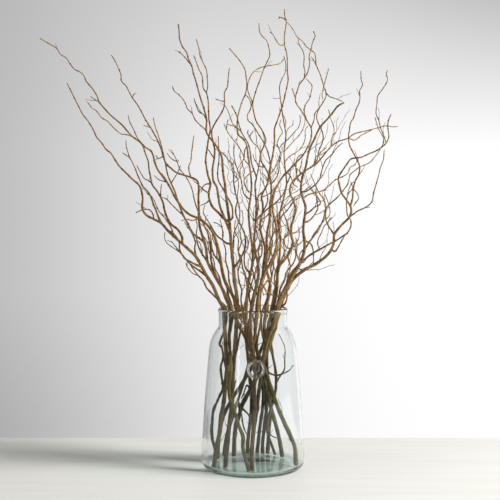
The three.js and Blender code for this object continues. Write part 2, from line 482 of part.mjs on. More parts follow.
    twigs: [
      { lean: -50, heavy: true, route: [[84, 438], [84, 455], [92, 472], [106, 489], [125, 507],
        [143, 521], [163, 532], [184, 544], [203, 554], [218, 564], [229, 572], [237, 587], [237, 603],
        [229, 615], [227, 632], [227, 652], [232, 668], [241, 680], [236, 697]],
      twigs: [
        { lean: -30, route: [[163, 532], [157, 545], [159, 558], [166, 572], [172, 587], [181, 597],
          [191, 611]] },
      ] },
      { lean: 50, route: [[197, 567], [188, 581], [179, 597], [176, 613], [177, 635], [171, 653],
        [161, 668], [152, 685], [146, 700], [139, 715]] },
      { lean: -30, route: [[190, 532], [199, 527], [206, 536], [213, 549], [219, 560], [228, 573]] },
      { lean: -60, route: [[232, 608], [243, 617], [254, 625], [275, 635], [288, 648], [292, 668],
        [298, 690], [304, 712], [308, 730], [315, 749], [317, 774]] },
      { lean: 50, heavy: true, route: [[236, 637], [241, 655], [243, 678], [248, 698], [256, 713],
        [258, 732], [252, 748], [243, 765], [234, 783], [231, 802], [233, 820], [236, 838], [243, 850],
        [249, 870], [257, 888], [258, 905], [257, 914], [264, 928], [261, 942], [260, 963]],
      twigs: [
        { lean: 25, route: [[243, 678], [252, 668], [256, 656], [250, 646], [243, 636]] },
        { lean: -20, route: [[248, 698], [238, 690], [232, 676], [228, 664]] },
      ] },
      { lean: 35, route: [[322, 789], [316, 806], [308, 826], [304, 843], [297, 860], [299, 882],
        [301, 902], [312, 918], [322, 934], [324, 945], [321, 953], [324, 964]] },
      { lean: -35, route: [[311, 779], [315, 790], [314, 803], [304, 821], [299, 835], [294, 852]] },
      { lean: -20, route: [[64, 390], [78, 402], [82, 420], [81, 436]] },
      { lean: 70, heavy: true, route: [[57, 360], [56, 385], [62, 410], [66, 436], [76, 456], [82, 478],
        [96, 495], [104, 515], [103, 540], [112, 562], [111, 588]] },
    ],
  },
  {
    foot: [57, 83], depth: [10, 38, 160], girth: [3.4, 3.0, 0.8],
    route: [
      [48, 52], [40, 75], [36, 105], [44, 140], [54, 172], [58, 205], [56, 240], [50, 272], [46, 305],
      [54, 340], [62, 372], [68, 400], [78, 425], [90, 448], [101, 468], [110, 488], [118, 508],
      [126, 530], [137, 549], [148, 564], [157, 578], [166, 593], [172, 608], [175, 624], [181, 636],
      [191, 646], [203, 656], [213, 667], [223, 680], [230, 691], [233, 702], [236, 713], [246, 722],
      [258, 731], [273, 737], [284, 743], [293, 753], [302, 765], [308, 774],
    ],
    twigs: [
      { lean: 45, route: [[58, 205], [68, 222], [80, 240], [82, 262], [84, 290], [78, 308],
        [68, 325]] },
      { lean: -40, route: [[126, 530], [133, 543], [141, 555], [147, 568], [157, 581], [162, 592]] },
      { lean: 50, route: [[172, 608], [181, 608], [187, 619], [186, 632], [181, 650], [174, 667]] },
      { lean: -45, route: [[110, 488], [120, 481], [134, 483], [141, 492]] },
      { lean: -20, route: [[50, 272], [43, 292], [40, 312], [46, 330]] },
    ],
  },
];

// ---------- helpers ----------

const lerp = (a, b, t) => a + (b - a) * t;

// A geometry as a manifold-3d solid, which can be joined to others.
function solidOf(geometry) {
  const bare = geometry.clone();
  bare.deleteAttribute("normal");
  bare.deleteAttribute("uv");
  const merged = mergeVertices(bare, 1e-4);
  return new wasm.Manifold(
    new wasm.Mesh({
      numProp: 3,
      vertProperties: new Float32Array(merged.attributes.position.array),
      triVerts: new Uint32Array(merged.index.array),
    }),
  );
}

// A manifold-3d solid as a three.js geometry.
function geometryOf(solid) {
  const { vertProperties, triVerts } = solid.getMesh();
  const geometry = new THREE.BufferGeometry();
  geometry.setAttribute("position", new THREE.BufferAttribute(new Float32Array(vertProperties), 3));
  geometry.setIndex(new THREE.BufferAttribute(new Uint32Array(triVerts), 1));
  geometry.computeVertexNormals();
  return geometry;
}

function meshOf(name, solid, material) {
  const mesh = new THREE.Mesh(geometryOf(solid), material);
  mesh.name = name;
  return mesh;
}

// ---------- the vase ----------

// Radius of the glass, outside or inside, from the heel up to the neck.
function bodyCurve(path, inset) {
  const { heelRadius, heelHeight, waistRadius, waistHeight, neckRadius, neckHeight } = VASE;
  const { share, swell } = BODY_BULGE;
  const { start, end, foot } = SHOULDER;
  path.quadraticCurveTo(
    lerp(heelRadius, waistRadius, share) + swell - inset,
    lerp(heelHeight, waistHeight, share),
    waistRadius - inset,
    waistHeight,
  );
  path.bezierCurveTo(
    waistRadius + start[0] - inset,
    waistHeight + start[1],
    neckRadius + end[0] - inset,
    neckHeight + end[1],
    neckRadius + foot[0] - inset,
    neckHeight + foot[1],
  );
}

function outerProfile() {
  const { height, restRadius, heelRadius, heelHeight, neckRadius, neckHeight, neckRound, wall } = VASE;
  const lipRadius = neckRadius + LIP.swell;
  const path = new THREE.Path();
  path.moveTo(restRadius, 0);
  path.quadraticCurveTo(heelRadius, 0, heelRadius, heelHeight);
  bodyCurve(path, 0);
  path.quadraticCurveTo(neckRadius, neckHeight, neckRadius, neckHeight + neckRound);
  path.lineTo(neckRadius, height - LIP.height);
  path.quadraticCurveTo(lipRadius, height - LIP.widest, lipRadius, height - LIP.round);
  path.quadraticCurveTo(lipRadius, height, neckRadius - wall / 2, height);
  return path.getPoints(VASE.curveSteps);
}

function innerProfile() {
  const { height, floor, heelRadius, heelHeight, neckRadius, neckHeight, neckRound, wall } = VASE;
  const path = new THREE.Path();
  path.moveTo(heelRadius - wall - FLOOR_ROUND.width, floor);
  path.quadraticCurveTo(heelRadius - wall, floor, heelRadius - wall, floor + FLOOR_ROUND.height);
  path.lineTo(heelRadius - wall, heelHeight);
  bodyCurve(path, wall);
  path.lineTo(neckRadius - wall, neckHeight + neckRound);
  path.lineTo(neckRadius - wall, height - LIP.round);
  path.quadraticCurveTo(neckRadius - wall, height, neckRadius - wall / 2, height);
  return path.getPoints(VASE.curveSteps);
}

// The round pressed seal on the front wall: a raised rim around a shallow field, with no lettering.
function sealSolid() {
  const { x, z, radius, slope, rimWidth, rim, field, sunk } = SEAL;
  const rimFront = SEAL_WALL_FRONT + rim;
  const fieldFront = SEAL_WALL_FRONT + field;
  const outline = [
    [0, sunk],
    [radius - slope, sunk],
    [radius, SEAL_WALL_FRONT],
    [radius - slope, rimFront],
    [radius - rimWidth, rimFront],
    [radius - rimWidth - slope, fieldFront],
    [0, fieldFront],
  ];
  const profile = outline.map(([across, out]) => new THREE.Vector2(across, out));
  const geometry = new THREE.LatheGeometry(profile, SEAL_SIDES);
  geometry.rotateX(Math.PI); // the lathe's axis now points out through the front, along -Y
  geometry.translate(x, 0, z);
  return solidOf(geometry);
}

function vaseSolid() {
  const outside = outerProfile();
  const inside = innerProfile().reverse().slice(1);
  const profile = [new THREE.Vector2(0, 0), ...outside, ...inside, new THREE.Vector2(0, VASE.floor)];
  const geometry = new THREE.LatheGeometry(profile, VASE.sides);
  geometry.rotateX(Math.PI / 2);
  return solidOf(geometry).add(sealSolid());
}

// Largest distance from the axis that the wood may reach at height z, or Infinity above the vase.
const INSIDE = innerProfile();
function roomAt(z) {
  const above = z - VASE.height;
  if (above > CLEAR_ABOVE.height) return Infinity;
  if (above > 0) return VASE.neckRadius - VASE.wall + above * CLEAR_ABOVE.slope;
  const upper = INSIDE.findIndex((point) => point.y >= z);
  if (upper <= 0) return INSIDE[0].x;
  const low = INSIDE[upper - 1];
  const high = INSIDE[upper];
  return lerp(low.x, high.x, (z - low.y) / (high.y - low.y));
}

// ---------- laying out the stems ----------

// A waypoint of the front view, moved to its depth y.
function placed([x, z], y) {
  const scale = 1 + y / OUTLINE_FROM.distance;
  return new THREE.Vector3(x * scale, y, OUTLINE_FROM.height + (z - OUTLINE_FROM.height) * scale);
}

// Share of the route's length covered at each waypoint, from 0 to 1.
function shares(route) {
  const reached = [0];
  for (let i = 1; i < route.length; i++) {
    const [dx, dz] = [route[i][0] - route[i - 1][0], route[i][1] - route[i - 1][1]];
    reached.push(reached[i - 1] + Math.hypot(dx, dz));
  }
  return reached.map((length) => length / reached[reached.length - 1]);
}

// All the wood as chains of shared points. A twig's chain starts with a point of its parent's chain.
function layOut() {
  const points = [];
  const chains = [];

  function addPoint(position, radius) {
    points.push({ at: position, start: position.clone(), radius });
    return points.length - 1;
  }

  function addLeader(stem, number) {
    const { foot, depth, girth, route } = stem;
    const [waistY, mouthY, tipY] = depth;
    const mouth = route.findIndex(([, z]) => z >= VASE.height - RIM_SLACK);
    const above = shares(route.slice(mouth));
    const ground = VASE.floor + FOOT_LIFT;
    const ids = [addPoint(new THREE.Vector3(foot[0], foot[1], ground), girth[0])];
    route.forEach(([x, z], i) => {
      const phase = i * CURL.step + number * CURL.stemPhase;
      if (i < mouth) {
        const y = z < WAIST
          ? lerp(foot[1], waistY, (z - ground) / (WAIST - ground))
          : lerp(waistY, mouthY, (z - WAIST) / (VASE.height - WAIST));
        ids.push(addPoint(placed([x, z], y), lerp(girth[0], girth[1], z / VASE.height)));
      } else {
        const along = above[i - mouth];
        const curl = CURL.leader * Math.min(1, along / CURL.start) * Math.sin(phase);
        const y = lerp(mouthY, tipY, along) + curl;
        const radius = girth[2] + (girth[1] - girth[2]) * (1 - along) ** TAPER;
        ids.push(addPoint(placed([x, z], y), radius));
      }
    });
    chains.push({ stem: number, ids, radii: ids.map((id) => points[id].radius), sides: LEADER_SIDES });
    (stem.twigs ?? []).forEach((twig, k) => addTwig(twig, ids, [foot, ...route], number, k + 1));
  }

  function addTwig(twig, parentIds, parentRoute, number, order) {
    const { lean, heavy, route } = twig;
    const [forkX, forkZ] = route[0];
    const away = parentRoute.map(([x, z], i) => (i ? Math.hypot(x - forkX, z - forkZ) : Infinity));
    const fork = parentIds[away.indexOf(Math.min(...away))];
    const share = heavy ? MAIN_TWIG_SHARE : TWIG_SHARE;
    const wanted = points[fork].radius * share;
    const base = THREE.MathUtils.clamp(wanted, TWIG_BASE.least, TWIG_BASE.most);
    const along = shares(route);
    const ids = [fork];
    const radii = [base];
    for (let i = 1; i < route.length; i++) {
      const phase = i * CURL.step + number * CURL.stemPhase + order;
      const y = points[fork].start.y + lean * along[i] + CURL.twig * Math.sin(phase) * along[i];
      radii.push(lerp(base, TWIG_TIP, along[i]));
      ids.push(addPoint(placed(route[i], y), radii[i]));
    }
    chains.push({ stem: number, ids, radii, sides: heavy ? TWIG_SIDES.heavy : TWIG_SIDES.fine });
    (twig.twigs ?? []).forEach((finer, k) => addTwig(finer, ids, route, number, order + k + 1));
  }

  STEMS.forEach((stem, i) => addLeader(stem, i + 1));
  return { points, chains };
}

// Where two segments come closest: the shares along each, for segments a-b and c-d.
function closest(a, b, c, d) {
  const u = b.clone().sub(a);
  const v = d.clone().sub(c);
  const w = a.clone().sub(c);
  const [uu, vv, uv, uw, vw] = [u.dot(u), v.dot(v), u.dot(v), u.dot(w), v.dot(w)];
  const denominator = uu * vv - uv * uv;
  const clamp = (value) => Math.min(1, Math.max(0, value));
  let s = denominator > 1e-9 ? clamp((uv * vw - vv * uw) / denominator) : 0.5;
  const t = clamp((uv * s + vw) / vv);
  s = clamp((uv * t - uw) / uu);
  return [s, t];
}

// Moves the wood of different stems apart, mostly in depth, and keeps it clear of the glass.
function spreadApart({ points, chains }) {
  const segments = chains.flatMap(({ stem, ids, radii }) =>
    ids.slice(1).map((id, i) => ({ stem, a: ids[i], b: id, ra: radii[i], rb: radii[i + 1] })),
  );
  const distance = (one, two) => {
    const [a, b, c, d] = [one.a, one.b, two.a, two.b].map((id) => points[id].at);
    const [s, t] = closest(a, b, c, d);
    return { s, t, between: a.clone().lerp(b, s).sub(c.clone().lerp(d, t)) };
  };
  const pairs = [];
  segments.forEach((one, i) =>
    segments.slice(i + 1).forEach((two) => {
      if (one.stem !== two.stem && distance(one, two).between.length() < RELAX.reach) pairs.push([one, two]);
    }),
  );
  const zero = () => points.map(() => new THREE.Vector3());

  for (let round = 0; round < RELAX.rounds; round++) {
    const moves = zero();
    const counts = points.map(() => 0);
    const push = (segment, share, vector) => {
      [[segment.a, 1 - share], [segment.b, share]].forEach(([id, part]) => {
        moves[id].addScaledVector(vector, part);
        counts[id] += part;
      });
    };

    for (const [one, two] of pairs) {
      const { s, t, between } = distance(one, two);
      const room = lerp(one.ra, one.rb, s) + lerp(two.ra, two.rb, t) + GAP;
      const missing = room - between.length();
      if (missing <= 0) continue;
      const way = new THREE.Vector3(between.x * RELAX.sideways, between.y, between.z * RELAX.sideways);
      if (way.length() < 1e-6) way.y = 1;
      way.normalize().multiplyScalar(missing * RELAX.share);
      push(one, s, way);
      push(two, t, way.clone().negate());
    }

    for (const segment of segments) {
      for (const share of RELAX.wallShares) {
        const at = points[segment.a].at.clone().lerp(points[segment.b].at, share);
        const room = roomAt(at.z) - lerp(segment.ra, segment.rb, share) - GAP;
        const out = Math.hypot(at.x, at.y);
        const inward = new THREE.Vector3(at.x, at.y, 0).multiplyScalar((room - out) / out);
        if (out > room) push(segment, share, inward);
      }
    }

    points.forEach((point, id) => {
      if (counts[id] > 0) point.at.addScaledVector(moves[id], 1 / Math.max(1, counts[id]));
    });
    if (round < RELAX.easeRounds) easeBends(points, chains);
    chains.forEach(({ ids, sides }) => {
      if (sides === LEADER_SIDES) points[ids[0]].at.z = VASE.floor + FOOT_LIFT;
    });
  }
}

// Shares each point's shift with its neighbours on the chain, so that a push makes a bow and no kink.
function easeBends(points, chains) {
  const shift = points.map(({ at, start }) => at.clone().sub(start));
  for (const { ids } of chains) {
    for (let i = 1; i < ids.length; i++) {
      const next = ids[i + 1] ?? ids[i];
      const mean = shift[ids[i - 1]].clone().add(shift[next]).multiplyScalar(0.5);
      points[ids[i]].at.addScaledVector(mean.sub(shift[ids[i]]), RELAX.ease);
    }
  }
}

// ---------- making the wood ----------

// Ring frames along a chain: each ring lies across the mean direction of its two segments.
function ringFrames(line, upright) {
  const across = new THREE.Vector3(1, 0, 0);
  return line.map((at, i) => {
    const before = line[Math.max(0, i - 1)];
    const after = line[Math.min(line.length - 1, i + 1)];
    const into = at.clone().sub(before).normalize();
    const outOf = after.clone().sub(at).normalize();
    const along = i === 0 && upright ? new THREE.Vector3(0, 0, 1) : into.add(outOf).normalize();
    const side = across.clone().addScaledVector(along, -across.dot(along)).normalize();
    across.copy(side);
    return { at, side, other: side.clone().cross(along) };
  });
}

// A closed tapering tube through the chain's points.
function tubeSolid(line, radii, sides, upright) {
  const last = line.length - 1;
  const geometry = new THREE.CylinderGeometry(1, 1, 1, sides, last);
  const frames = ringFrames(line, upright);
  const position = geometry.attributes.position;
  for (let i = 0; i < position.count; i++) {
    const ring = Math.round((position.getY(i) + 0.5) * last);
    const { at, side, other } = frames[ring];
    const vertex = at
      .clone()
      .addScaledVector(side, position.getX(i) * radii[ring])
      .addScaledVector(other, position.getZ(i) * radii[ring]);
    position.setXYZ(i, vertex.x, vertex.y, vertex.z);
  }
  return solidOf(geometry);
}

function stemSolid({ points, chains }, number) {
  const tubes = chains
    .filter(({ stem }) => stem === number)
    .map(({ ids, radii, sides }) =>
      tubeSolid(ids.map((id) => points[id].at), radii, sides, sides === LEADER_SIDES),
    );
  return tubes.reduce((wood, tube) => wood.add(tube));
}

// ---------- materials ----------

function glassMaterial() {
  return new THREE.MeshStandardMaterial({
    color: 0xcfe3d8,
    roughness: 0.05,
    metalness: 0,
    transparent: true,
    opacity: 0.35,
    side: THREE.DoubleSide,
  });
}

// Bark runs from olive on the thick stems to reddish brown on the thin ones.
const THICK_FOOT = 4.9;
const THICK_TO_THIN = 1.5;
function barkMaterial(footRadius) {
  const olive = new THREE.Color(0x7a6a38);
  const brown = new THREE.Color(0x7d5231);
  const thinness = THREE.MathUtils.clamp((THICK_FOOT - footRadius) / THICK_TO_THIN, 0, 1);
  const color = olive.lerp(brown, thinness);
  return new THREE.MeshStandardMaterial({ color, roughness: 0.65, metalness: 0 });
}

// ---------- assembly ----------

const group = new THREE.Group();
group.name = "willow_stems";
group.add(meshOf("glass_vase", vaseSolid(), glassMaterial()));

const wood = layOut();
spreadApart(wood);
STEMS.forEach((stem, i) => {
  const name = `stem_${String(i + 1).padStart(2, "0")}`;
  group.add(meshOf(name, stemSolid(wood, i + 1), barkMaterial(stem.girth[0])));
});

export default group;
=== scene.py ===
# Curly willow stems standing crossed in a recycled-glass vase.
# The tables and the layout are in millimetres, as in the part's own source; MM makes them metres.
import math

import bpy
import numpy as np
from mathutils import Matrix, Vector


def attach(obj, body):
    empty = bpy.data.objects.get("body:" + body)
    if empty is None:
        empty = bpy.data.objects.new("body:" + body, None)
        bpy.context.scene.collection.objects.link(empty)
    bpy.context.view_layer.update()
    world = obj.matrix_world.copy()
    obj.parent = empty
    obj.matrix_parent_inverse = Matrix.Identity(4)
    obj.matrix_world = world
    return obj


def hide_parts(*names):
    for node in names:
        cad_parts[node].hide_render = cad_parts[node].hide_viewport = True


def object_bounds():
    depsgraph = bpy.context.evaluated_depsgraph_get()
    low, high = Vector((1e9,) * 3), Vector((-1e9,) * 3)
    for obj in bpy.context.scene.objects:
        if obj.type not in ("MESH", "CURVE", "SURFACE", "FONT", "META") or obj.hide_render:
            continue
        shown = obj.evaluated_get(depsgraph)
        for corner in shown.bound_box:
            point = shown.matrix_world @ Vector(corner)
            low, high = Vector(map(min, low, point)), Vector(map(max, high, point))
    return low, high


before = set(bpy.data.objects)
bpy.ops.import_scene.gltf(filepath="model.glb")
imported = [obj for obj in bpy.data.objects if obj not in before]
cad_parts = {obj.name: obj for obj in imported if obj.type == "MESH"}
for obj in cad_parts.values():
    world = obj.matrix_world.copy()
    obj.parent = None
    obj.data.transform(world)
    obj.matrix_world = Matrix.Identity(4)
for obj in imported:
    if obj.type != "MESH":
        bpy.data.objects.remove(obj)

CAD_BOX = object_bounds()
MM = 0.001
SEED = 7

# ---------- driving dimensions, as in the CAD ----------

HEIGHT = 390
FLOOR = 10  # top of the thick glass floor
REST_RADIUS = 108
HEEL = (126, 28)  # radius, height
WAIST = (107.5, 278)
NECK = (83, 344)
NECK_ROUND = 5
WALL = 5.5
LIP = dict(swell=1.5, height=13, widest=9, round=5)  # heights down from the rim
FLOOR_ROUND = dict(width=9, height=11)
BULGE = dict(share=0.55, swell=3.5)
SHOULDER = dict(start=(-1, 28), end=(15.5, -20), foot=(1.5, -2))
SEAL = dict(x=7, z=257, radius=20, slope=1, rim_width=3, rim=3.2, field=1.4)

TWIG_TIP = 0.7
TWIG_SHARE = 0.62
MAIN_TWIG_SHARE = 0.85
TWIG_BASE = (1.0, 2.7)
OUTLINE_FROM = dict(distance=2550, height=635)
CURL = dict(leader=6, twig=4, step=1.9, stem_phase=2.3, start=0.125)
GAP = 1.0
GROUND = FLOOR + 0.3
CROSSING = 250  # height where the stems cross inside the vase
RIM_SLACK = 8
CLEAR_ABOVE = dict(height=20, slope=1.1)
TAPER = 1.5
RELAX = dict(rounds=240, reach=22, share=0.5, sideways=0.3, ease=0.12, ease_rounds=160)
WALL_SHARES = (0, 0.25, 0.5, 0.75, 1)
PARALLEL = 1e-9  # two segments whose directions spread less than this count as parallel

# ---------- the stems ----------
# Routes are (x, z) waypoints in the front view, as in the CAD. A twig's first waypoint is its fork.


def stem(foot, depth, girth, route, twigs):
    return dict(foot=foot, depth=depth, girth=girth, route=route, twigs=twigs)


def twig(lean, route, *finer, heavy=False):
    return dict(lean=lean, route=route, twigs=finer, heavy=heavy)


